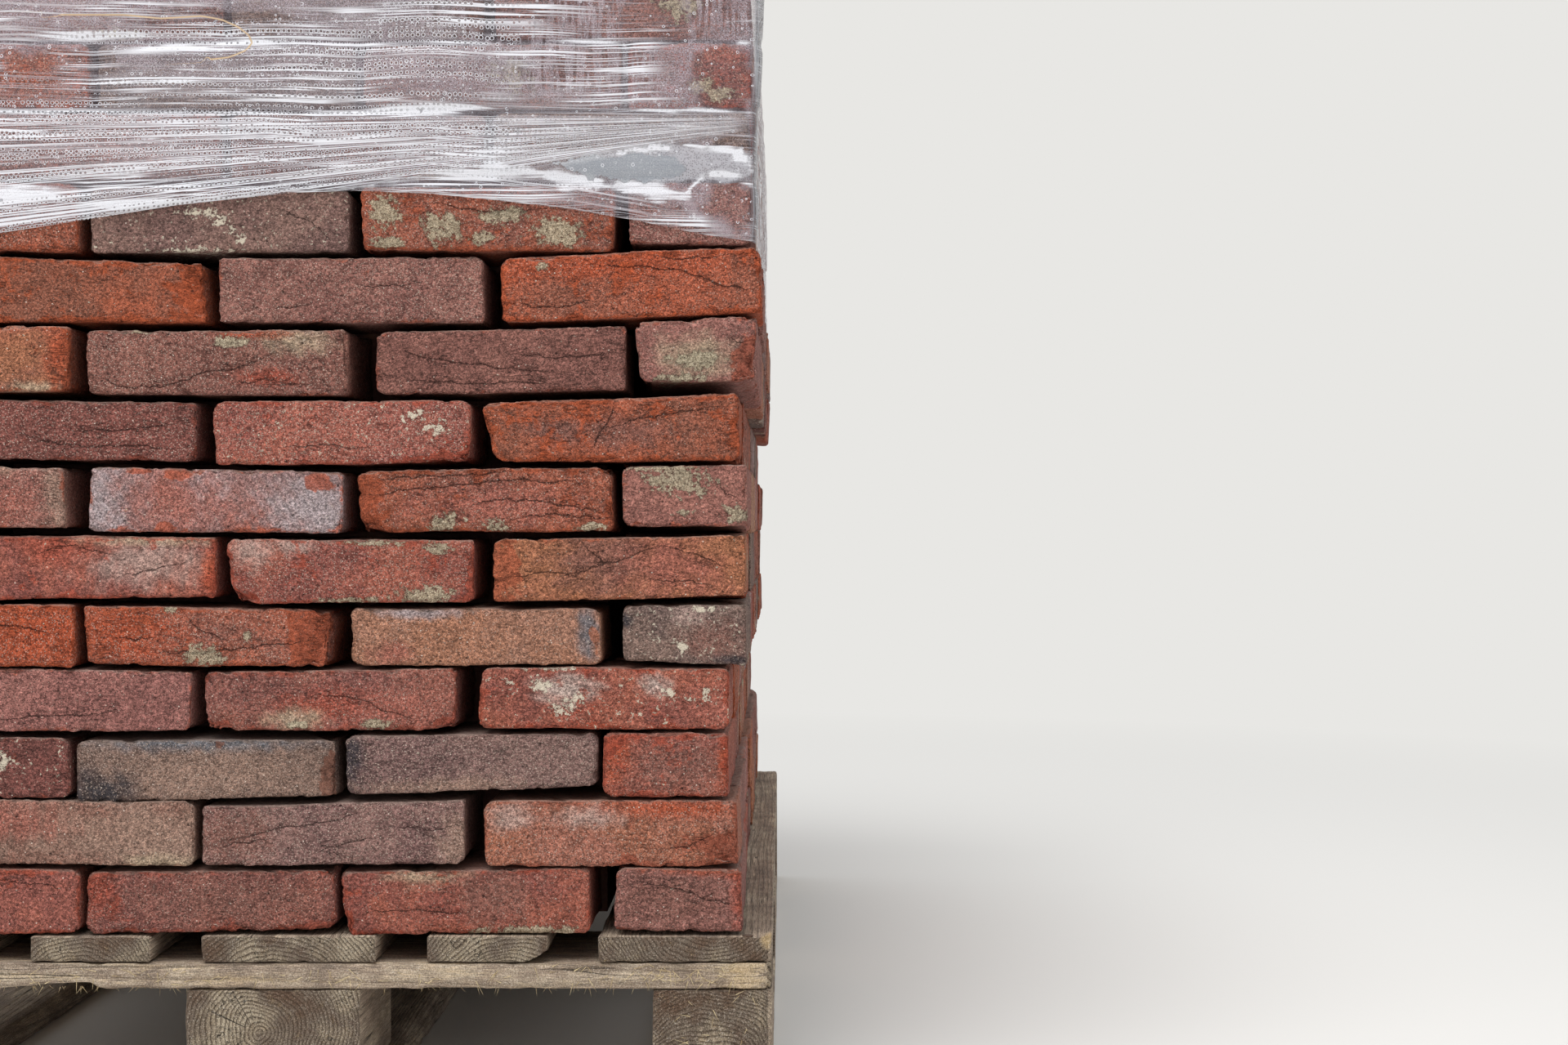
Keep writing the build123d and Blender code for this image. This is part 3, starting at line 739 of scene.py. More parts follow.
def old_brick():
    """Sand-struck clay brick, years old: a dull skin of fired sand grains, pale ones and dark hollows side by
    side, over a redder body, with cracks where the clay folded, and crumbs of sandy mortar and white lime."""
    material, put = new_material("sand_struck_clay")
    grain_size = 1.5 * mm
    place, skin, cloud, body, marks, folds = (
        put("read", attribute_name=name) for name in ("place", "skin", "cloud", "body", "marks", "folds")
    )
    place = place.outputs["Vector"]
    worn, mortar, lime = put("colour_parts", marks).outputs
    first_fold, second_fold, fold_depth = put("colour_parts", folds).outputs
    edge, pale = marks.outputs["Alpha"], folds.outputs["Alpha"]

    fine = put("noise", place, 1 / (0.8 * mm), 1.0, 0.6)
    sand = put("noise", place, 1 / (2.4 * mm), 3.0, 0.75)
    crumble = put("noise", place, 1 / (6 * mm), 5.0, 0.75)
    clouds = put("noise", place, 1 / (26 * mm), 5.0, 0.65)
    broad = put("noise", place, 1 / (75 * mm), 3.0, 0.55)
    grains = put("cells", place, 1 / grain_size)
    shade, rare, _ = put("colour_parts", grains.outputs["Color"]).outputs
    pebbles = put("cells", place, 1 / (5.5 * mm))
    pebble_rare = put("colour_parts", pebbles.outputs["Color"]).outputs[0]

    # The sand skin: grains of all shades, with dark hollows between them in painted shade
    cloudy = put("spread", put("times_plus", clouds, 0.6, broad), 0.7, 0.9)
    tone = put("blend", cloudy, skin, cloud)
    for pattern, *span in (
        (shade, 0, 1, 0.6, 1.5), (fine, 0.3, 0.7, 0.6, 1.45),
        (sand, 0.36, 0.62, 0.62, 1.3), (crumble, 0.35, 0.62, 0.84, 1.15),
    ):
        tone = put("scaled", tone, put("spread", pattern, *span))
    round_grain = put("spread", grains, 0.2, 0.5, 1, 0)
    is_pale = put("times", round_grain, put("is_below", rare, pale))
    is_pale = put("times", is_pale, put("spread", fine, 0.35, 0.6, 0.2, 0.9))
    tone = put("blend", is_pale, tone, put("blend", 0.35, linear("#f0d5c4"), skin))
    is_dark = put("times", round_grain, put("is_above", rare, 0.86))
    tone = put("blend", put("times", is_dark, 0.6), tone, linear("#33201d"))
    # Sparse bigger pebbles: pale grains, painted near white as glints.
    painted_glint = put("times", put("spread", pebbles, 0.07, 0.14, 1, 0), put("is_below", pebble_rare, 0.3))
    tone = put("blend", put("times", painted_glint, 0.85), tone, linear("#f0dfd0"))

    # The body where the skin is gone, along arrises and in patches
    bare = put("sum", put("times_plus", crumble, 0.5, clouds), put("spread", edge, 0, 0.5, 0.2, 0))
    bare = put("spread", put("sum", bare, worn), 1.2, 1.3)
    for pattern, *span in (
        (crumble, 0.32, 0.66, 0.5, 1.4), (fine, 0.3, 0.7, 0.62, 1.4), (shade, 0, 1, 0.76, 1.26)
    ):
        body = put("scaled", body, put("spread", pattern, *span))
    tone = put("blend", put("times", bare, 0.8), tone, body)

    # Pits, and the cracks where the clay was folded in the mould, darkened with painted shade
    pit = put("times", put("spread", pebbles, 0.1, 0.24, 1, 0), put("is_above", pebble_rare, 0.95))
    wobble = put("spread", crumble, 0.2, 0.8, -2.2 * mm, 2.2 * mm)
    width = put("times", put("spread", sand, 0.3, 0.7, 0.2 * mm, 1.25 * mm), fold_depth)
    first_line = put("unsigned", put("sum", first_fold, wobble))
    second_line = put("unsigned", put("sum", second_fold, wobble))
    nearest = put("smallest", first_line, second_line)
    crack = put("spread", nearest, put("times", width, 0.4), width, 1, 0)
    wrinkles = put("noise", put("scaled", place, (0.3, 1, 1)), 1 / (8 * mm), 4.0, 0.65, {"Distortion": 1.1})
    wrinkles = put("spread", put("unsigned", put("sum", wrinkles, -0.5)), 0.002, 0.02, 1, 0)
    wrinkles = put("times", wrinkles, put("spread", clouds, 0.44, 0.6))
    wrinkles = put("times", wrinkles, put("spread", fold_depth, 0.15, 0.6, 0, 0.8))
    dark = put("largest", put("largest", crack, wrinkles), pit)
    tone = put("blend", put("times", dark, 0.78), tone, linear("#241310"))

    # Mortar and lime lie on top, crumbled at their edges
    loose = put("times_plus", put("sum", crumble, -0.5), 1.9, put("times", put("sum", sand, -0.5), 0.9))
    mortar = put("spread", put("sum", mortar, loose), 0.42, 0.58)
    mortar = put("times", mortar, put("spread", fine, 0.3, 0.48, 0.5, 1))
    mortar_tone = put("times_plus", sand, 0.6, put("times", fine, 0.4))
    mortar_tone = put("ramp", mortar_tone, stops=((0.36, "#6f6353"), (0.48, "#b1a388"), (0.61, "#dccfb3")))
    mortar_tone = put("scaled", mortar_tone, put("spread", shade, 0, 1, 0.75, 1.2))
    tone = put("blend", put("times", mortar, 0.88), tone, mortar_tone)
    lime = put("spread", put("sum", lime, put("times", loose, 2.1)), 0.48, 0.6)
    lime_tone = put("scaled", linear("#e6d9c3")[:3], put("spread", fine, 0.3, 0.7, 0.8, 1.1))
    tone = put("blend", put("times", lime, 0.92), tone, lime_tone)
    # Faces that look up are paled, partly with settled dust and partly with painted light from above on the
    # top arrises.
    upward = put("vector_parts", put("ShaderNodeNewGeometry").outputs["Normal"]).outputs[2]
    dust = put("times", put("spread", upward, 0.3, 0.9), put("spread", crumble, 0.35, 0.6, 0.15, 0.6))
    tone = put("blend", dust, tone, linear("#ac998c"))

    relief = sand
    for layer, strength in (
        (fine, 0.5), (crumble, 1.5), (round_grain, 0.4), (dark, -1.5), (bare, -0.3), (mortar, 1.0),
        (lime, 0.5),
    ):
        relief = put("times_plus", layer, strength, relief)
    bump = put("bump", 1.0, 1.1 * mm, {"Height": relief})
    looks = {"Base Color": tone, "Roughness": 0.93, "Specular IOR Level": 0.2, "Normal": bump}
    put("ShaderNodeOutputMaterial", put("surface", looks))
    return material


clay = old_brick()


def mould_and_handle():
    """The tree that turns a plain brick into a hand-moulded one: its faces are never flat, its arrises are
    uneven and chipped, and the clay's folds are furrows with a raised lip."""
    tree, put, given = start_tree(
        "mould_and_handle", Warp=3.2 * mm, Lump=2.8 * mm, Furrow=1.1 * mm, Chip=5.5 * mm, Crumble=2.2 * mm
    )
    place = put("named", "place", data_type="FLOAT_VECTOR")
    edge = put("named", "edge")
    bite = put("named", "bite")
    folds = put("FunctionNodeSeparateColor", put("named", "folds", data_type="FLOAT_COLOR")).outputs
    _, warp_size, lump_size, furrow_size, chip_size, crumble_size, _ = given.outputs
    warp = put("shifted", put("noise", place, 1 / (75 * mm), 1.0, 0.6).outputs["Color"], (-0.5, -0.5, -0.5))
    warp = put("pushed", warp, warp_size)
    lump = put("times", put("sum", put("noise", place, 1 / (20 * mm), 4.0, 0.64), -0.52), lump_size)
    furrows = [
        put("spread", put("unsigned", fold), 0, 4 * mm, -1, 0, interpolation_type="SMOOTHSTEP")
        for fold in folds[:2]
    ]
    lip = put("spread", put("less", 7 * mm, folds[0]), 0, 6 * mm, 0, 0.7)
    lip = put("times", lip, put("is_above", folds[0], 0.8 * mm))
    fold = put("sum", put("sum", *furrows), lip)
    fold = put("times", put("times", fold, folds[2]), furrow_size)
    chipped = put("spread", put("noise", place, 1 / (15 * mm), 3.0, 0.6), 0.54, 0.74, 0, -1)
    chip = put("times", put("times", chipped, put("spread", edge, 0, 9 * mm, 1, 0)), chip_size)
    crumbled = put("spread", put("noise", place, 1 / (7 * mm), 2.0, 0.65), 0.36, 0.7, 0.35, -0.65)
    crumbled = put("times", crumbled, put("spread", edge, 0, 4.5 * mm, 1, 0))
    chip = put("times_plus", crumbled, crumble_size, chip)
    depth = put("less", put("sum", put("sum", lump, fold), chip), bite)
    push = put("pushed", put("GeometryNodeInputNormal"), depth)
    moved = put("GeometryNodeSetPosition", given, {"Offset": put("shifted", push, warp)})
    return end_tree(tree, moved, clay)


moulded = mould_and_handle()


def solids_of(node):
    """The lowest and highest corner of each separate solid of a CAD node, in a fixed order."""
    shape = bmesh.new()
    shape.from_mesh(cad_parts[node].data)
    bmesh.ops.remove_doubles(shape, verts=shape.verts, dist=0.01 * mm)
    left = set(shape.verts)
    boxes = []
    while left:
        stack = [left.pop()]
        island = []
        while stack:
            vertex = stack.pop()
            island.append(tuple(vertex.co))
            beside = [edge.other_vert(vertex) for edge in vertex.link_edges]
            for other in beside:
                if other in left:
                    left.remove(other)
                    stack.append(other)
        island = np.array(island)
        boxes.append((island.min(0), island.max(0)))
    shape.free()
    return sorted(boxes, key=lambda box: (round(box[0][1], 4), round(box[0][0], 4)))


brick_names = sorted(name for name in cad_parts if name.startswith("brick_course"))
course_boxes = {name: solids_of(name) for name in brick_names}
front_step, side_step, top_step = 3.3 * mm, 9.5 * mm, 14 * mm


def round_corners(points, size, axis, radii):
    """Rounds a brick's outline as seen along the other level axis. radii are for the low left, low right,
    high left and high right corner, each at its sides along the axis and up."""
    for radius, sides in zip(radii, ((-1, -1), (1, -1), (-1, 1), (1, 1))):
        along = points[:, axis] * sides[0] - size[axis] / 2 + radius
        up = points[:, 2] * sides[1] - size[2] / 2 + radius
        inside = (along > 0) & (up > 0)
        factor = np.where(inside, np.maximum(along, up) / np.maximum(np.hypot(along, up), 1e-9), 1)
        points[:, axis] += along * (factor - 1) * sides[0]
        points[:, 2] += up * (factor - 1) * sides[1]


def shift_corners(points, size, axis, shifts, fade):
    """Moves the four corners of a brick's outline, and everything between them in proportion."""
    across = points[:, axis] / size[axis] + 0.5
    up = points[:, 2] / size[2] + 0.5
    shares = ((1 - across) * up, across * up, across * (1 - up), (1 - across) * (1 - up))
    for share, place in zip(shares, range(0, 8, 2)):
        points[:, axis] += share * shifts[place] * mm * fade
        points[:, 2] += share * shifts[place + 1] * mm * fade


def wandering(line, chance):
    """A fold's line with the small bends of real clay between its given places, all in metres."""
    places = [np.array(line[0])]
    for start, end in zip(line, line[1:]):
        start, end = np.array(start), np.array(end)
        count = max(2, round(np.linalg.norm(end - start) / (7 * mm)))
        aside = np.array([start[1] - end[1], end[0] - start[0]]) / max(np.linalg.norm(end - start), 1e-6)
        for step in range(1, count + 1):
            bend = chance.uniform(-1.5, 1.5) * mm if step < count else 0
            places.append(start + (end - start) * step / count + aside * bend)
    return places


def signed_distance(flat, line):
    """Each point's distance to a line of places, negative on its right-hand side, and how far it is from the
    line's ends, from 0 at an end to 1 where the line is whole."""
    whole_from = 12 * mm
    best = np.full(len(flat), 1.0)
    side = np.ones(len(flat))
    inward = np.zeros(len(flat))
    total = sum(np.linalg.norm(b - a) for a, b in zip(line, line[1:]))
    passed = 0
    for a, b in zip(line, line[1:]):
        run = b - a
        length = np.linalg.norm(run)
        share = np.clip((flat - a) @ run / length**2, 0, 1)
        away = flat - a - share[:, None] * run
        distance = np.linalg.norm(away, axis=1)
        nearer = distance < best
        best = np.where(nearer, distance, best)
        side = np.where(nearer, np.sign(run[0] * away[:, 1] - run[1] * away[:, 0]), side)
        where = passed + share * length
        inward = np.where(nearer, np.minimum(where, total - where), inward)
        passed += length
    return best * np.where(side == 0, 1, side), np.clip(inward / whole_from, 0, 1)


def random_marks(chance, kind):
    """Marks and folds for a brick that the photograph doesn't show."""
    areas, folds = [], []
    for _ in range(chance.choice((0, 1, 1, 2, 3))):
        what = chance.choice(("mortar", "mortar", "lime", "bare", "ash", "plum", "beige", "rust"))
        across, up = chance.random(), chance.choice((0.05, 0.5, 0.95))
        areas.append((what, across, up, chance.uniform(6, 30), chance.uniform(4, 14)))
    if chance.random() < 0.6:
        areas.append(("bare", chance.choice((0.02, 0.98)), 0.5, chance.uniform(6, 18), 32))
    for _ in range(chance.choice((0, 0, 1, 2)) if firings[kind][5] < 0.7 else 3):
        across, up = chance.uniform(0, 0.6), chance.uniform(0.15, 0.85)
        line = [(across, up)]
        for _ in range(chance.randint(2, 4)):
            across += chance.uniform(0.08, 0.2)
            up = min(max(up + chance.uniform(-0.2, 0.2), 0.08), 0.92)
            line.append((across, up))
        folds.append(line)
    return areas, folds


def marked_face(areas, face, size, near_face, unrolled, kind, chance):
    """What the areas put on a brick's face: its skin and cloud colours, the body, mortar and lime that show,
    and how deep it is bitten."""
    across, up = face
    skin, cloud, body = (np.array(linear(shade)) for shade in firings[kind][:3])
    light = chance.uniform(0.85, 1.04)
    shift = np.array([light * chance.uniform(0.97, 1.03), light, light * chance.uniform(0.97, 1.03), 1])
    colours = {"skin": skin * shift, "cloud": cloud * shift, "body": body * shift}
    colours = {label: np.tile(colour, (len(across), 1)) for label, colour in colours.items()}
    shown = {"bare": firings[kind][3], "mortar": -0.06, "lime": -0.25}
    shown = {what: np.full(len(across), value) for what, value in shown.items()}
    bite = np.zeros(len(across))
    for what, at, height, half_width, half_height, *deep in areas:
        away = np.hypot(
            (across - at) * size[0] / (half_width * mm), (up - height) * size[1] / (half_height * mm)
        )
        # The outline of an area is never smooth: it wanders with four waves across the face.
        for reach in (34, 21, 13, 8):
            turn, start = chance.uniform(0, math.pi), chance.uniform(0, 6)
            wave = unrolled @ np.array([math.cos(turn), math.sin(turn)]) / (reach * mm)
            away = away + 0.16 * np.sin(wave * 2 * math.pi + start)
        strength = np.clip(1.4 - 0.8 * away, 0, 1) * near_face
        if what == "bite":
            bite = np.maximum(bite, np.clip(1.1 - away, 0, 1) * near_face * deep[0] * mm)
            shown["bare"] = np.maximum(shown["bare"], 0.75 * strength)
        elif what in shown:
            shown[what] = np.maximum(shown[what], 0.78 * strength)
        else:
            share = (strength * 0.8)[:, None]
            for label in ("skin", "cloud"):
                colours[label] = colours[label] * (1 - share) + np.array(linear(tones[what])) * share
    return colours, shown, bite


def folded_face(fold_lines, size, unrolled, kind, chance):
    """Each point's distances to the folds, to every other one of them in turn, how deep the folds are there,
    and how many pale grains it holds."""
    pale, folded = firings[kind][4:]
    folds = np.tile([1.0, 1.0, 0.0, pale], (len(unrolled), 1))
    for number, line in enumerate(fold_lines):
        line = wandering([(across * size[0], up * size[1]) for across, up in line], chance)
        distance, inward = signed_distance(unrolled, line)
        channel = number % 2
        nearer = np.abs(distance) < np.abs(folds[:, channel])
        folds[:, channel] = np.where(nearer, distance, folds[:, channel])
        strength = inward * np.clip(2 - np.abs(distance) / (5 * mm), 0, 1) * (0.5 + folded / 2)
        folds[:, 2] = np.maximum(folds[:, 2], strength)
    folds[:, 2] = np.maximum(folds[:, 2], 0.2 + 0.35 * folded * (folds[:, 2] == 0))
    return folds


def one_brick(box, shown, front, kind, shifts, areas, fold_lines, chance):
    """One brick's points, faces and the values that its material and its tree read. shown holds the (axis,
    side) faces that can be seen, and front says whether it stands in the front row."""
    low, high = box
    size, middle = high - low, (low + high) / 2
    depth_axis = next((axis for axis, side in sorted(shown, reverse=True) if axis < 2), 1)
    axis = 1 - depth_axis
    side = next((side for face_axis, side in shown if face_axis == depth_axis), 0)
    steps = [top_step if (2, 1) in shown else side_step] * 3
    if front:
        steps = [front_step, side_step, front_step]
    grid, faces = box_grid(size, steps, shown, ease=3.6 * mm)
    arris = arris_distance(grid, size)
    depth = grid[:, depth_axis] * (1 if side == 0 else -1) + size[depth_axis] / 2
    points = rounded(grid, size, chance.uniform(1.4, 2.6) * mm)
    round_corners(points, size, axis, [chance.uniform(2, 10) * mm for _ in range(4)])
    shift_corners(points, size, axis, shifts, np.clip((200 * mm - depth) / (130 * mm), 0, 1))

    # How far across and up its face each point lies, from 0 to 1, and its place when the brick's sides are
    # unrolled beside the face.
    across = grid[:, axis] / size[axis] + 0.5
    up = grid[:, 2] / size[2] + 0.5
    if axis == 1 and side == 0:
        across = 1 - across
    unrolled = np.stack([across * size[axis] + depth, up * size[2]], axis=1)
    near_face = np.clip(1 - depth / (14 * mm), 0, 1)
    face_size = size[[axis, 2]]
    colours, covers, bite = marked_face(areas, (across, up), face_size, near_face, unrolled, kind, chance)
    folds = folded_face(fold_lines, face_size, unrolled, kind, chance)
    local = np.stack([unrolled[:, 0], grid[:, depth_axis], unrolled[:, 1]], axis=1)
    local += np.array([chance.uniform(0, 9) for _ in range(3)])
    marks = np.stack([*covers.values(), np.clip(arris / (14 * mm), 0, 1)], axis=1)
    values = {"place": local, **colours, "marks": marks, "folds": folds, "edge": arris, "bite": bite}
    return points + middle, faces, values


def stay_inside(piece):
    """Holds a piece's bulges back within the pallet's outline and under the film's top."""
    low, high = (np.array(corner) for corner in cad_box)
    beside, under = 0.2 * mm, 1.3 * mm
    places = np.empty(len(piece.data.vertices) * 3, np.float32)
    piece.data.vertices.foreach_get("co", places)
    places = np.clip(places.reshape(-1, 3), low + beside, high - (beside, beside, under))
    piece.data.vertices.foreach_set("co", places.ravel())
    piece.data.update()


def random_shifts(chance):
    """How far the corners stand off on a brick that the photograph doesn't show, in mm."""
    shifts = [chance.uniform(-2, 2) if place % 2 == 0 else chance.uniform(-0.5, 0.2) for place in range(8)]
    shifts[1], shifts[3] = -shifts[1], -shifts[3]
    return shifts


def course_piece(number, node):
    """All the bricks of one course, as one piece."""
    boxes = course_boxes[node]
    lowest = np.min([box[0] for box in boxes], axis=0)
    highest = np.max([box[1] for box in boxes], axis=0)
    # The ring's bricks stand out of line by less than this.
    reach = 9 * mm
    front_row = [index for index, box in enumerate(boxes) if box[0][1] < lowest[1] + reach]
    front_row.sort(key=lambda index: -boxes[index][1][0])
    all_points, all_faces, all_values, start = [], [], [], 0
    for index, box in enumerate(boxes):
        chance = random.Random(number * 100 + index)
        front = index in front_row
        shown = {(axis, 0) for axis in (0, 1) if box[0][axis] < lowest[axis] + reach}
        shown |= {(axis, 1) for axis in (0, 1) if box[1][axis] > highest[axis] - reach}
        if front:
            shown |= {(0, 0), (0, 1)}
        if number == len(brick_names):
            shown.add((2, 1))
        kind = chance.choice(sorted(firings))
        areas, fold_lines = random_marks(chance, kind)
        shifts = random_shifts(chance)
        rank = front_row.index(index) if front else len(front_bricks[number - 1])
        if rank < len(front_bricks[number - 1]):
            kind, shifts = front_bricks[number - 1][rank]
            areas = front_marks.get((number, rank + 1), areas[:1] if number > last_clear_course else [])
            fold_lines = front_folds.get((number, rank + 1), [])
        points, faces, values = one_brick(box, shown, front, kind, shifts, areas, fold_lines, chance)
        all_points.append(points)
        all_faces += [[start + corner for corner in face] for face in faces]
        all_values.append(values)
        start += len(points)
    joined = {label: np.concatenate([values[label] for values in all_values]) for label in all_values[0]}
    piece = new_piece(f"bricks_{number:02d}", np.concatenate(all_points), all_faces, joined)
    apply_tree(piece, moulded)
    stay_inside(piece)
    hand_over(piece, "brick", node)


for number, node in enumerate(brick_names, start=1):
    course_piece(number, node)


def inner_bricks():
    """The same clay inside the stack, where only the joints let a little of it be seen: dull, and painted
    dark as the shade in there.
    """
    material, put = new_material("sand_struck_clay_in_painted_shade")
    place = put("ShaderNodeTexCoord").outputs["Object"]
    clouds = put("noise", place, 1 / (30 * mm), 4.0, 0.6)
    tone = put("ramp", clouds, stops=((0.35, "#4a322c"), (0.55, "#63413a"), (0.7, "#74503f")))
    bump = put("bump", 0.8, 1.5 * mm, {"Height": put("noise", place, 1 / (3 * mm), 4.0, 0.7)})
    put("ShaderNodeOutputMaterial", put("surface", {"Base Color": tone, "Roughness": 0.95, "Normal": bump}))
    return material


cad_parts["brick_core"].data.materials.clear()
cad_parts["brick_core"].data.materials.append(inner_bricks())


# The stretch film
#
# Clear polyethylene film, 20 microns thick, pulled tight by hand several times round the upper courses and
# folded in over the top. Rain got under it: droplets mist it, and drips and contact with the bricks clear it.

film_low, film_high = box_of("stretch_film")
film_turn, film_lap, film_gauge = 7 * mm, 70 * mm, 0.3 * mm
wall_rows, turn_rows, lap_rows = 42, 4, 8
wrapped = [course_boxes[name] for name in brick_names[-4:]]
joints = [max(box[1][2] for box in boxes) for boxes in wrapped[:-1]]
# Where on the front the fan of strands comes together, and how far to the left it reaches.
fan_x, fan_z, fan_reach = 376 * mm, 821 * mm, 620 * mm
# The lower edge on the front, as places to the right and up in mm. It is highest right of the middle.
lower_edge = [(-391, 717), (-300, 717), (-237, 725), (-92, 748), (0, 758), (53, 760), (120, 757), (170, 752),
              (230, 745), (288, 735), (340, 724), (384, 717.5)]
edge_peak = max(lower_edge, key=lambda place: place[1])[0] * mm
# What shows on the front, kind by kind: its middle to the right and up, and its half width and half height,
# in mm. A pool and a veil are film full of water and of haze, calm film has few strands, milky film lies in
# layers, clear film was wiped wet, and chains are droplets in a row. The two small milky areas at the
# right-hand corner, 822 and 883 mm up, are painted glints.
film_front = {
    "pool": [(288, 779, 40, 10), (250, 782, 30, 6)],
    "veil": [(312, 782, 74, 15), (362, 780, 24, 13)],
    "calm": [(352, 862, 46, 40), (340, 916, 50, 24), (366, 760, 22, 40), (300, 800, 90, 9),
             (300, 778, 110, 22), (-215, 855, 24, 22)],
    "milky": [(372, 786, 7, 4), (160, 774, 50, 6), (-165, 889, 80, 5), (-60, 881, 90, 4), (120, 828, 60, 4),
              (60, 824, 90, 3), (-217, 757, 46, 9), (-120, 748, 60, 7), (375, 883, 8, 4), (379, 822, 7, 2.5),
              (-40, 752, 50, 5), (320, 826, 60, 3), (200, 883, 120, 2)],
    "clear": [(-200, 853, 52, 20), (-160, 850, 14, 28), (360, 850, 22, 26), (364, 748, 17, 22),
              (300, 735, 60, 11), (368, 797, 14, 14), (-150, 811, 80, 6), (180, 908, 30, 18),
              (60, 800, 40, 4), (-60, 900, 60, 8), (20, 750, 40, 6), (300, 905, 26, 20)],
    "drips": [(250, 905, 130, 26), (250, 862, 60, 18), (-160, 852, 30, 26)],
    "chains": [(-40, 884, 120, 14), (130, 895, 60, 22), (-110, 803, 150, 22), (20, 850, 140, 22),
               (100, 808, 80, 12)],
}
# What runs along a line there: its kind, its half width in mm and its places.
film_lines = [
    ("milky", 7, [(165, 779), (195, 777), (232, 768), (278, 763), (308, 757), (328, 754)]),
    ("milky", 2.6, [(328, 753), (336, 767), (352, 775), (366, 773), (382, 764)]),
    ("milky", 2.2, [(262, 789), (300, 795), (335, 797), (370, 795), (382, 778)]),
    ("second", 8, [(328, 752), (338, 740), (360, 722), (368, 712)]),
]
# A straw was caught under the film.
straw_line = [(-189, 905), (-136, 905), (-106, 902), (-72, 904), (-55, 901), (-42, 895), (-33, 888),
              (-31, 882), (-35, 876), (-49, 870), (-65, 868)]


def film_strands(put, flat, along, height, fan, calm, fanned):
    """Strands: long thin streaks, level in general, few where the film is calm, and drawn together to the
    corner in the fan. Gives how strongly they show, the level streaks, their bands and their sway."""
    bands = put("flat_noise", put("scaled", flat, (0.12, 1, 1)), 1 / (14 * mm), 3.0, 0.6)
    sway = put("times", put("flat_noise", flat, 1 / (160 * mm), 1.0), 14 * mm)
    swayed = put("vector", put("times", along, 0.008), put("sum", height, sway))
    streak = put("flat_noise", put("scaled", swayed, (1.5, 1, 1)), 1 / (1.7 * mm), 2.0, 0.55)
    groups = put("flat_noise", swayed, 1 / (8 * mm), 2.0, 0.6)
    hairs = put("flat_noise", put("scaled", swayed, (2.5, 1, 1)), 1 / (0.9 * mm), 1.0, 0.6)
    fade = put("flat_noise", put("scaled", flat, (0.16, 1, 1)), 1 / (26 * mm), 2.0, 0.6)
    fade = put("spread", fade, 0.34, 0.54, 0.12, 1.0)
    level_line = put("times", put("spread", streak, 0.5, 0.56), put("spread", groups, 0.36, 0.46, 0.4, 1.0))
    level_line = put("times", level_line, put("times", fade, put("spread", calm, 0.2, 0.8, 1, 0.08)))
    soft_line = put("times", put("spread", hairs, 0.42, 0.66), put("spread", bands, 0.4, 0.58, 0.2, 1))
    soft_line = put("times", soft_line, put("spread", calm, 0.2, 0.8, 1, 0.3))

    fanned_place = put("vector", put("times", along, 0.006), fan)
    fan_streak = put("flat_noise", fanned_place, 1 / (1.5 * mm), 2.5, 0.6)
    fan_group = put("flat_noise", fanned_place, 1 / (9 * mm), 2.0, 0.6)
    fan_line = put("spread", fan_streak, 0.46, 0.55)
    fan_line = put("times", fan_line, put("spread", fan_group, 0.36, 0.5, 0.3, 1.0))
    fan_line = put("times", fan_line, fanned)
    strand = put("largest", level_line, put("times", soft_line, 0.45))
    return put("largest", strand, fan_line), streak, bands, sway


def film_droplets(put, flat, along, patch, rows):
    """Droplets: rings of water strung in rows along the strands, and strays. rows holds the rows' place
    across, their droplets' size and where they show. Gives the rings and what they enclose."""
    ring, core = 0.0, 0.0
    for across, size, share in rows:
        beads = put("flat_cells", put("vector", along, across), 1 / size, {"Randomness": 0.3})
        chance = put("colour_parts", beads.outputs["Color"]).outputs[1]
        row = put("flat_noise", put("vector", put("times", along, 0.012), across), 1 / (6 * mm), 1.0, 0.6)
        radius = put("spread", row, 0.45, 0.65, 0.18, 0.36)
        present = put("times", put("spread", row, 0.49, 0.52), put("is_below", chance, 0.88))
        present = put("times", present, share)
        line = put("spread", put("unsigned", put("less", beads, radius)), 0.02, 0.12, 1, 0)
        ring = put("largest", ring, put("times", line, present))
        core = put("largest", core, put("times", put("is_below", beads, radius), present))
    strays = put("flat_cells", flat, 1 / (3.6 * mm))
    chance, stray_size, _ = put("colour_parts", strays.outputs["Color"]).outputs
    stray = put("times", put("is_above", chance, 0.9), put("spread", patch, 0.42, 0.5))
    line = put("less", strays, put("spread", stray_size, 0, 1, 0.12, 0.34))
    line = put("spread", put("unsigned", line), 0.03, 0.12, 1, 0)
    return put("largest", ring, put("times", line, stray)), core


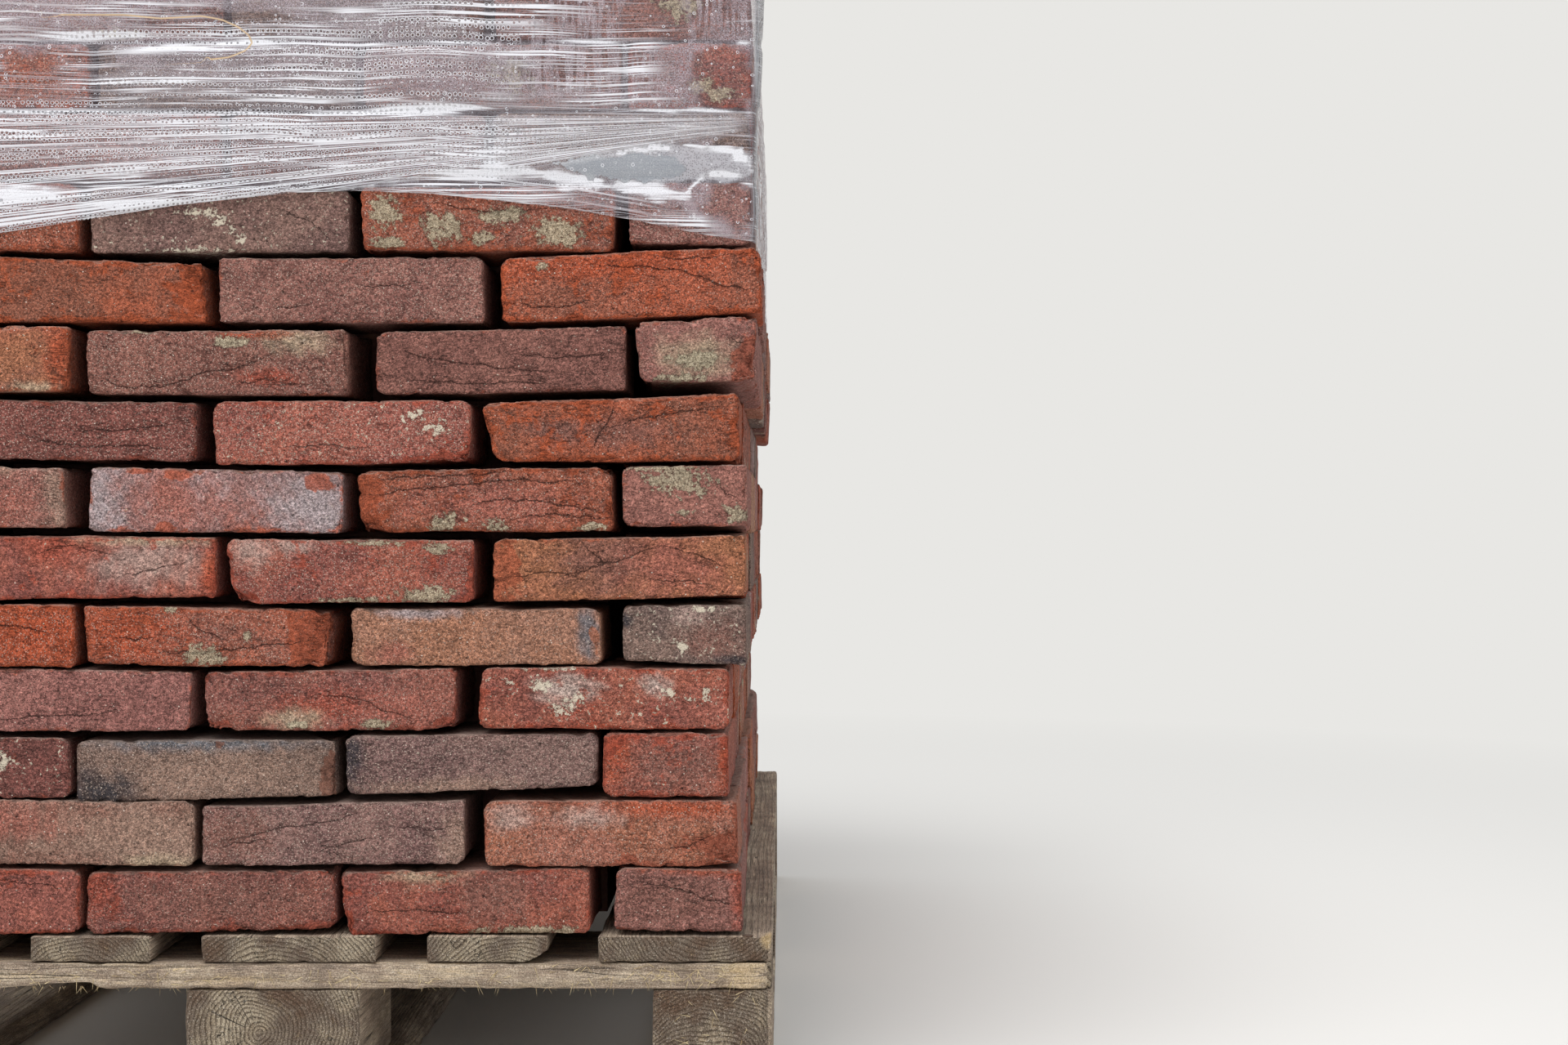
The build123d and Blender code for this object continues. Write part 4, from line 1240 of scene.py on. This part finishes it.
def film_material():
    """Stretched polyethylene, misted with droplets on the inside: a pale haze that the bricks show through,
    white where the film is drawn into strands or stands off in layers, and clear where it was wiped wet."""
    material, put = new_material("misted_stretch_film")
    wrap, marks, kinds, rests = (
        put("read", attribute_name=name) for name in ("wrap", "film_marks", "film_kinds", "film_rests")
    )
    along, height, fan = put("vector_parts", wrap.outputs["Vector"]).outputs
    milky, clear, drips = put("colour_parts", marks).outputs
    fanned, second, outer = put("colour_parts", kinds).outputs
    calm, folded, veil = put("colour_parts", rests).outputs
    chains, pool, straw = (values.outputs["Alpha"] for values in (marks, kinds, rests))
    straw = put("spread", put("unsigned", straw), 0.45 * mm, 1.0 * mm, 0.9, 0)

    flat = put("vector", along, height)
    mist = put("flat_noise", flat, 1 / (1.1 * mm), 2.0, 0.7)
    patch = put("flat_noise", flat, 1 / (22 * mm), 4.0, 0.6)
    strand, streak, bands, sway = film_strands(put, flat, along, height, fan, calm, fanned)
    level_row = (put("sum", height, sway), 4.4 * mm, put("spread", chains, 0.1, 0.5))
    ring, core = film_droplets(put, flat, along, patch, (level_row, (fan, 4.0 * mm, fanned)))
    beads = put("flat_cells", flat, 1 / (1.6 * mm))
    bead = put("spread", beads, 0.1, 0.5, 1, 0)
    chance, bright, _ = put("colour_parts", beads.outputs["Color"]).outputs
    dark_bead = put("times", bead, put("is_below", chance, put("spread", calm, 0, 1, 0.36, 0.6)))
    light_bead = put("times", put("spread", beads, 0.05, 0.3, 1, 0), put("is_above", bright, 0.84))

    # What the drips and the bricks have wiped clear, and where the film is milky or holds a pool
    track = put("flat_noise", put("scaled", flat, (1, 0.1, 1)), 1 / (5 * mm), 2.0, 0.6)
    wiped = put("spread", put("times_plus", patch, 0.8, drips), 0.75, 0.95)
    wiped = put("times", put("spread", track, 0.5, 0.56), wiped)
    cleared = put("sum", put("times_plus", patch, 1.6, clear), put("times", mist, 0.5))
    cleared = put("largest", put("spread", cleared, 1.25, 1.6), put("times", wiped, 0.85))
    milk = put("sum", put("times_plus", bands, 1.3, milky), put("times", streak, 0.9))
    milk = put("times", put("spread", milk, 1.5, 2.0), put("spread", mist, 0.3, 0.45, 0.8, 1))
    pool = put("sum", put("times_plus", patch, 1.4, pool), put("times", bands, 0.5))
    pool = put("spread", pool, 1.3, 1.42)
    milk = put("times", milk, put("spread", pool, 0, 1, 1, 0.25))
    cleared = put("times", cleared, put("less", 1.0, milk))

    # The haze, and how much the whole hides
    haze = put("spread", mist, 0.3, 0.7, 0.3, 0.62)
    for pattern, *span in (
        (dark_bead, 0, 1, 1.1, 0.45), (patch, 0.35, 0.65, 0.72, 1.12), (cleared, 0, 1, 1, 0.2),
        (fanned, 0, 1, 1, 0.45),
    ):
        haze = put("times", haze, put("spread", pattern, *span))
    veil = put("spread", put("sum", veil, put("times", patch, 0.6)), 0.6, 0.9, 0, 0.7)
    for layer, pattern, *span in (
        (veil, dark_bead, 0, 1, 1, 0.5), (pool, mist, 0.3, 0.7, 0.62, 0.9),
        (light_bead, cleared, 0, 1, 0.6, 0.1),
    ):
        haze = put("largest", haze, put("times", layer, put("spread", pattern, *span)))
    alpha = put("largest", put("largest", haze, put("times", strand, 0.9)), put("times", milk, 0.9))
    alpha = put("times", alpha, put("spread", core, 0, 1, 1, 0.35))
    upright = put("flat_noise", put("scaled", flat, (1, 0.03, 1)), 1 / (2.5 * mm), 2.0)
    upright = put("spread", upright, 0.42, 0.62)
    for layer, strength in ((ring, 0.85), (second, 0.55), (folded, put("spread", upright, 0, 1, 0.5, 0.8))):
        alpha = put("largest", alpha, put("times", layer, strength))
    alpha = put("largest", alpha, straw)
    alpha = put("times", alpha, put("spread", outer, 0, 1, 0.05, 1))

    # Its colour: bluish where it hides much, white in the strands and rings, and in the folds a grey that is
    # painted shade
    white = put("largest", put("largest", strand, milk), put("largest", ring, put("times", light_bead, 0.7)))
    tint = put("blend", put("spread", mist, 0.35, 0.65), linear("#9c8c96"), linear("#d6c8d0"))
    shaded_fold_tint = put("blend", upright, linear("#5d636b"), linear("#a3a8ae"))
    for share, shade in (
        (veil, linear("#d3d6de")), (pool, linear("#a9aeb6")), (put("times", folded, 0.9), shaded_fold_tint),
        (put("times", white, put("spread", folded, 0, 1, 1, 0.5)), linear("#f4f4fa")),
        (straw, linear("#d8b98f")),
    ):
        tint = put("blend", share, tint, shade)
    relief = put("sum", put("times_plus", strand, 0.6, put("times", streak, 0.5)), put("times", bead, 0.25))
    bump = put("bump", 0.5, 0.6 * mm, {"Height": relief})
    looks = {"Base Color": tint, "Roughness": 0.22, "IOR": 1.5, "Alpha": alpha, "Normal": bump}
    put("ShaderNodeOutputMaterial", put("surface", looks))
    return material


def film_path(step_front, step_other):
    """The film's line round the stack in plan, from the right-hand front corner clockwise as seen from above:
    places, outward directions, the distance passed and which side each lies on."""
    low, high = film_low[:2] + film_turn, film_high[:2] - film_turn
    corners = [
        ((high[0], low[1]), (1, 0), (0, -1)), ((low[0], low[1]), (0, -1), (-1, 0)),
        ((low[0], high[1]), (-1, 0), (0, 1)), ((high[0], high[1]), (0, 1), (1, 0)),
    ]
    places, outward, side = [], [], []
    for number, (middle, start, end) in enumerate(corners):
        middle, start, end = (np.array(v, float) for v in (middle, start, end))
        for turn in np.linspace(0, math.pi / 2, 5):
            way = start * math.cos(turn) + end * math.sin(turn)
            places.append(middle + film_turn * way)
            outward.append(way)
            side.append(number)
        following = np.array(corners[(number + 1) % 4][0])
        length = np.linalg.norm(following - middle)
        count = round(length / (step_front if number == 0 else step_other))
        for share in np.arange(1, count) / count:
            places.append(middle + (following - middle) * share + film_turn * end)
            outward.append(end)
            side.append(number)
    places = np.array(places)
    passed = np.concatenate([[0], np.cumsum(np.linalg.norm(np.diff(places, axis=0), axis=1))])
    return places, np.array(outward), passed, np.array(side)


def film_rows(places, outward, passed, bottom):
    """The film's points, in rows from its lower edge up the wall, round the top's turn and in over the top,
    and how far up the film each point lies."""
    top = film_high[2]
    lap_end = film_lap * (1 + 0.15 * np.sin(9 * passed) + 0.1 * np.sin(31 * passed + 1))
    points = np.zeros((wall_rows + turn_rows + lap_rows, len(places), 3))
    reached = np.zeros(points.shape[:2])
    for row in range(len(points)):
        if row < wall_rows:
            height = bottom + (top - film_turn - bottom) * row / (wall_rows - 1)
            inward, reached[row] = 0, height
        elif row < wall_rows + turn_rows:
            turn = (row - wall_rows + 1) / turn_rows * math.pi / 2
            height = top - film_turn + film_turn * math.sin(turn)
            inward, reached[row] = film_turn * (1 - math.cos(turn)), top - film_turn + film_turn * turn
        else:
            share = (row - wall_rows - turn_rows + 1) / lap_rows
            height = top - 0.6 * mm * share
            inward = film_turn + (lap_end - film_turn) * share
            reached[row] = top + inward
        points[row, :, :2] = places - outward * np.reshape(inward, (-1, 1))
        points[row, :, 2] = height
    # Past a corner the lap would run over itself, so it is drawn in towards the middle of the stack.
    lap = points[wall_rows + turn_rows :]
    depth = np.linspace(0, 1, lap_rows + 1)[1:, None]
    for axis in (0, 1):
        inside = np.clip(lap[:, :, axis], film_low[axis] + film_lap, film_high[axis] - film_lap)
        drawn_in = lap[:, :, axis] * (1 - depth) + inside * depth
        lap[:, :, axis] = np.where(np.abs(outward[:, axis]) < 0.5, drawn_in, lap[:, :, axis])
    return points, reached


def press_on_bricks(wall, outward, passed, side, bottom, chance):
    """Moves the wall's points: the film stands a little off the bricks' uneven faces, dips into the joints,
    follows each course and waves."""
    height = wall[:, :, 2]
    joint_width = 5 * mm
    dip = np.full(height.shape, -1.6 * mm)
    for joint in joints:
        dip += 1.8 * mm * np.exp(-(((height - joint) / joint_width) ** 2))
    for boxes in wrapped:
        low_z, high_z = boxes[0][0][2], boxes[0][1][2]
        within = 1 / (1 + np.exp(-(height - low_z) / (2 * mm)))
        within *= 1 / (1 + np.exp((height - high_z) / (2 * mm)))
        for axis, face in ((0, 0), (0, 1), (1, 0), (1, 1)):
            film_face = (film_low, film_high)[face][axis]
            near = [box for box in boxes if abs(box[face][axis] - film_face) < 16 * mm]
            plane = min(abs(box[face][axis] - film_face) for box in near)
            facing = outward[:, axis] * (1 if face else -1) > 0.9
            dip += facing * 0.6 * max(plane - 1 * mm, 0) * within
            for brick_end in (box[end][1 - axis] for box in near for end in (0, 1)):
                away = (wall[:, :, 1 - axis] - brick_end) / joint_width
                dip += facing * 1.1 * mm * np.exp(-(away**2)) * within
    waves = 0
    for _ in range(7):
        along, up, start = chance.uniform(20, 90), chance.uniform(-60, 60), chance.uniform(0, 6)
        waves = waves + np.sin(passed * along + height * up + start)
    dip -= waves * 0.16 * mm
    # Near the right-hand corner at the top, the side's film stands off the bricks in upright folds.
    folds_from, folds_rise = 800 * mm, 140 * mm
    right = (side == 3) | ((side == 0) & (outward[:, 0] > 0.2))
    bulge = right * np.exp(-((corner_distance(passed) / (60 * mm)) ** 2))
    raised = np.clip((height - folds_from) / folds_rise, 0, 1)
    dip -= bulge * (1.5 * mm + 6 * mm * raised) * np.clip(outward[:, 0], 0, 1)
    margin = np.clip((height - bottom) / (20 * mm), 0, 1)
    wall[:, :, :2] -= outward * (dip * (0.4 + 0.6 * margin))[:, :, None]


def corner_distance(passed):
    """How far round the stack each place is from the right-hand front corner, the shorter way."""
    return np.minimum(passed, passed[-1] - passed)


def fan_of_strands(places, front, heights, front_edge):
    """The strands that run together at the right-hand corner: which of them each point lies on, as a height,
    and how strongly they show there. Low at the right they follow the lower edge instead."""
    lowest, highest = -125 * mm, 50 * mm
    reach = np.where(front, fan_x - places[:, 0], fan_reach)
    fan = (heights - fan_z) / (0.12 + 0.88 * np.clip(reach / fan_reach, 0, 1.3))
    fanned = np.clip((fan - lowest) / (20 * mm), 0, 1) * np.clip((highest - fan) / (35 * mm), 0, 1)
    fanned *= np.where(front, np.clip((reach + 10 * mm) / (20 * mm), 0, 1), 0.6)
    past_peak = front & (places[:, 0] > edge_peak)
    under = np.clip((fan_z - 10 * mm - 0.2 * np.abs(reach) - heights) / (10 * mm), 0, 1)
    fanned *= 1 - 0.85 * under * past_peak
    over_edge = heights - front_edge
    low_band = 24 * mm * np.clip((places[:, 0] - edge_peak) / (100 * mm), 0, 1)
    low_lines = past_peak & (over_edge < low_band)
    calmed = np.clip((330 * mm - places[:, 0]) / (50 * mm), 0, 1)
    low_shown = 0.85 * np.clip((low_band - over_edge) / (6 * mm), 0, 1) * calmed
    return np.where(low_lines, over_edge * 1.3, fan), np.where(low_lines, low_shown, fanned)


def film_marks(places, front, passed, heights, chance):
    """How strongly each kind of mark shows at each point of the film, and how far from the straw it lies."""
    marks = {kind: np.zeros(heights.shape) for kind in (*film_front, "second")}
    far_off = 9
    on_front, on_rest = np.where(front, places[:, 0], far_off), np.where(front, -far_off, passed)
    flat_front = np.stack([on_front + 0 * heights, heights], axis=-1).reshape(-1, 2)

    def add_mark(kind, strength):
        marks[kind] = np.maximum(marks[kind], strength)

    def add_area(kind, across, x, z, half_width, half_height):
        away = np.hypot((across - x * mm) / (half_width * mm), (heights - z * mm) / (half_height * mm))
        add_mark(kind, np.clip(1.5 - away, 0, 1))

    def from_line(line):
        distance, _ = signed_distance(flat_front, [np.array(place) * mm for place in line])
        return distance.reshape(heights.shape)

    for kind, areas in film_front.items():
        for area in areas:
            add_area(kind, on_front, *area)
    for kind, half_width, line in film_lines:
        uneven = 1 + 0.35 * np.sin(passed / (11 * mm)) + 0.25 * np.sin(passed / (4.3 * mm) + 1)
        away = np.abs(from_line(line)) / (half_width * mm * uneven)
        add_mark(kind, np.clip(1.5 - away, 0, 1) * (heights < 800 * mm))
    # The sides and the back don't show in the photograph and have marks at random.
    for _ in range(46):
        kind = chance.choice(("milky", "milky", "clear", "clear", "drips", "chains", "chains"))
        half_width = chance.uniform(30, 120)
        half_height = chance.uniform(3, 8) if kind == "milky" else chance.uniform(12, 26)
        z = chance.choice(joints) / mm if kind == "milky" else chance.uniform(735, 925)
        start = chance.uniform(passed[-1] / mm * 0.21, passed[-1] / mm)
        add_area(kind, on_rest, start, z, half_width, half_height)
    for joint in joints:
        add_mark("milky", 0.42 * np.exp(-(((heights - joint) / (3.5 * mm)) ** 2)))
    return marks, from_line(straw_line)


def closed_sheet(points):
    """The points and faces of a thin closed sheet: these rows of points on its outside, in a ring round the
    stack, the same a film's thickness further in, and its two edges. The inside's points come second."""
    rows, columns = points.shape[:2]
    outer_faces = []
    for row in range(rows - 1):
        for column in range(columns):
            beside = (column + 1) % columns
            a, b = row * columns + column, row * columns + beside
            outer_faces.append([b, a, a + columns, b + columns])
    outer = points.reshape(-1, 3)
    shape = bmesh.new()
    corners = [shape.verts.new(place) for place in outer]
    for face in outer_faces:
        shape.faces.new([corners[corner] for corner in face])
    shape.normal_update()
    normals = np.array([corner.normal[:] for corner in corners])
    shape.free()
    count = len(outer)
    faces = outer_faces + [[corner + count for corner in face][::-1] for face in outer_faces]
    last = (rows - 1) * columns
    for column in range(columns):
        beside = (column + 1) % columns
        faces.append([column, beside, beside + count, column + count])
        faces.append([last + beside, last + column, last + column + count, last + beside + count])
    return np.concatenate([outer, outer - normals * film_gauge]), faces


def film_sheet():
    """The film as a thin closed sheet over the bricks, and the values that its material reads."""
    places, outward, passed, side = film_path(4.6 * mm, 9 * mm)
    chance = random.Random("film")
    front = outward[:, 1] < -0.5
    front_edge = np.interp(places[:, 0], *np.array(lower_edge).T * mm)
    bottom = np.where(front, front_edge, film_low[2])
    points, heights = film_rows(places, outward, passed, bottom)
    press_on_bricks(points[:wall_rows], outward, passed, side, bottom, chance)
    fan, fanned = fan_of_strands(places, front, heights, front_edge)
    marks, straw = film_marks(places, front, passed, heights, chance)
    # How strongly the layered folds at the right-hand corner show; the material paints them grey there as
    # shade.
    at_corner = (side == 3) | (outward[:, 0] > 0.6)
    folded = at_corner * np.exp(-((corner_distance(passed) / (45 * mm)) ** 2))
    outside = np.ones(heights.shape)
    all_points, faces = closed_sheet(points)
    values = {
        "wrap": (passed, heights, fan),
        "film_marks": (marks["milky"], marks["clear"], marks["drips"], marks["chains"]),
        "film_kinds": (fanned, marks["second"], outside, marks["pool"]),
        "film_rests": (marks["calm"], folded, marks["veil"], straw),
    }
    for label, columns in values.items():
        layer = np.stack(np.broadcast_arrays(*columns), axis=-1).reshape(-1, len(columns))
        values[label] = np.concatenate([layer, layer])
    values["film_kinds"][heights.size :, 2] = 0
    sheet = new_piece("stretch_film_wrap", all_points, faces, values)
    sheet.data.materials.append(film_material())
    hand_over(sheet, "film", "stretch_film")


film_sheet()


# The studio
#
# A pale floor without an edge and soft light from above and in front, as under an overcast sky. The camera
# stands where the photograph was taken from: level, 1.8 m before the pallet and a little right of its side.

backdrop_pale = "#e8e7e4"


def seen_directly(put):
    """1 for the rays that reach the camera from here straight, by a mirror or through glass, and 0 for the
    rest."""
    rays = put("ShaderNodeLightPath").outputs
    mirrored = put("largest", rays["Is Glossy Ray"], rays["Is Transmission Ray"])
    return put("largest", rays["Is Camera Ray"], mirrored)


def studio_floor():
    """Matt pale board that fades into the background away from the object."""
    material, put = new_material("matt_floor_board")
    away = put("length", put("ShaderNodeTexCoord").outputs["Object"])
    far = put("spread", away, 1.1, 3.2)
    board = put("ShaderNodeBsdfDiffuse", linear("#efede9"))
    glow = put("ShaderNodeEmission", linear(backdrop_pale), 1.0)
    mixed = put("ShaderNodeMixShader", put("times", far, seen_directly(put)), board, glow)
    put("ShaderNodeOutputMaterial", mixed)
    return material


floor = new_piece("floor", [(-30, -30, 0), (30, -30, 0), (30, 30, 0), (-30, 30, 0)], [[0, 1, 2, 3]], {})
floor.data.materials.append(studio_floor())

world = bpy.data.worlds.new("overcast")
world.use_nodes = True
world.node_tree.nodes.clear()
put_sky = partial(add, world.node_tree)
light = put_sky("ShaderNodeBackground", linear("#f4f6f8"), 0.7)
backdrop = put_sky("ShaderNodeBackground", linear(backdrop_pale), 1.0)
put_sky("ShaderNodeOutputWorld", put_sky("ShaderNodeMixShader", seen_directly(put_sky), light, backdrop))
bpy.context.scene.world = world


def softbox(name, place, aim, size, power):
    """A square area lamp that points at aim."""
    lamp = bpy.data.lights.new(name, "AREA")
    lamp.size = size
    lamp.energy = power
    holder = bpy.data.objects.new(name, lamp)
    holder.location = place
    direction = np.array(aim) - np.array(place)
    holder.rotation_euler = (
        math.atan2(math.hypot(direction[0], direction[1]), -direction[2]),
        0,
        math.atan2(direction[1], direction[0]) - math.pi / 2,
    )
    bpy.context.scene.collection.objects.link(holder)


softbox("sky_above", (-0.6, -1.6, 3.6), (0, -0.3, 0.5), 2.6, 110)

camera = bpy.data.cameras.new("camera")
camera.lens = 50
camera.sensor_width = 36
stand = bpy.data.objects.new("camera", camera)
stand.location = (0.409, -2.397, 0.4855)
stand.rotation_euler = (math.pi / 2, 0, 0)
bpy.context.scene.collection.objects.link(stand)
bpy.context.scene.camera = stand
bpy.context.scene.view_settings.view_transform = "Standard"
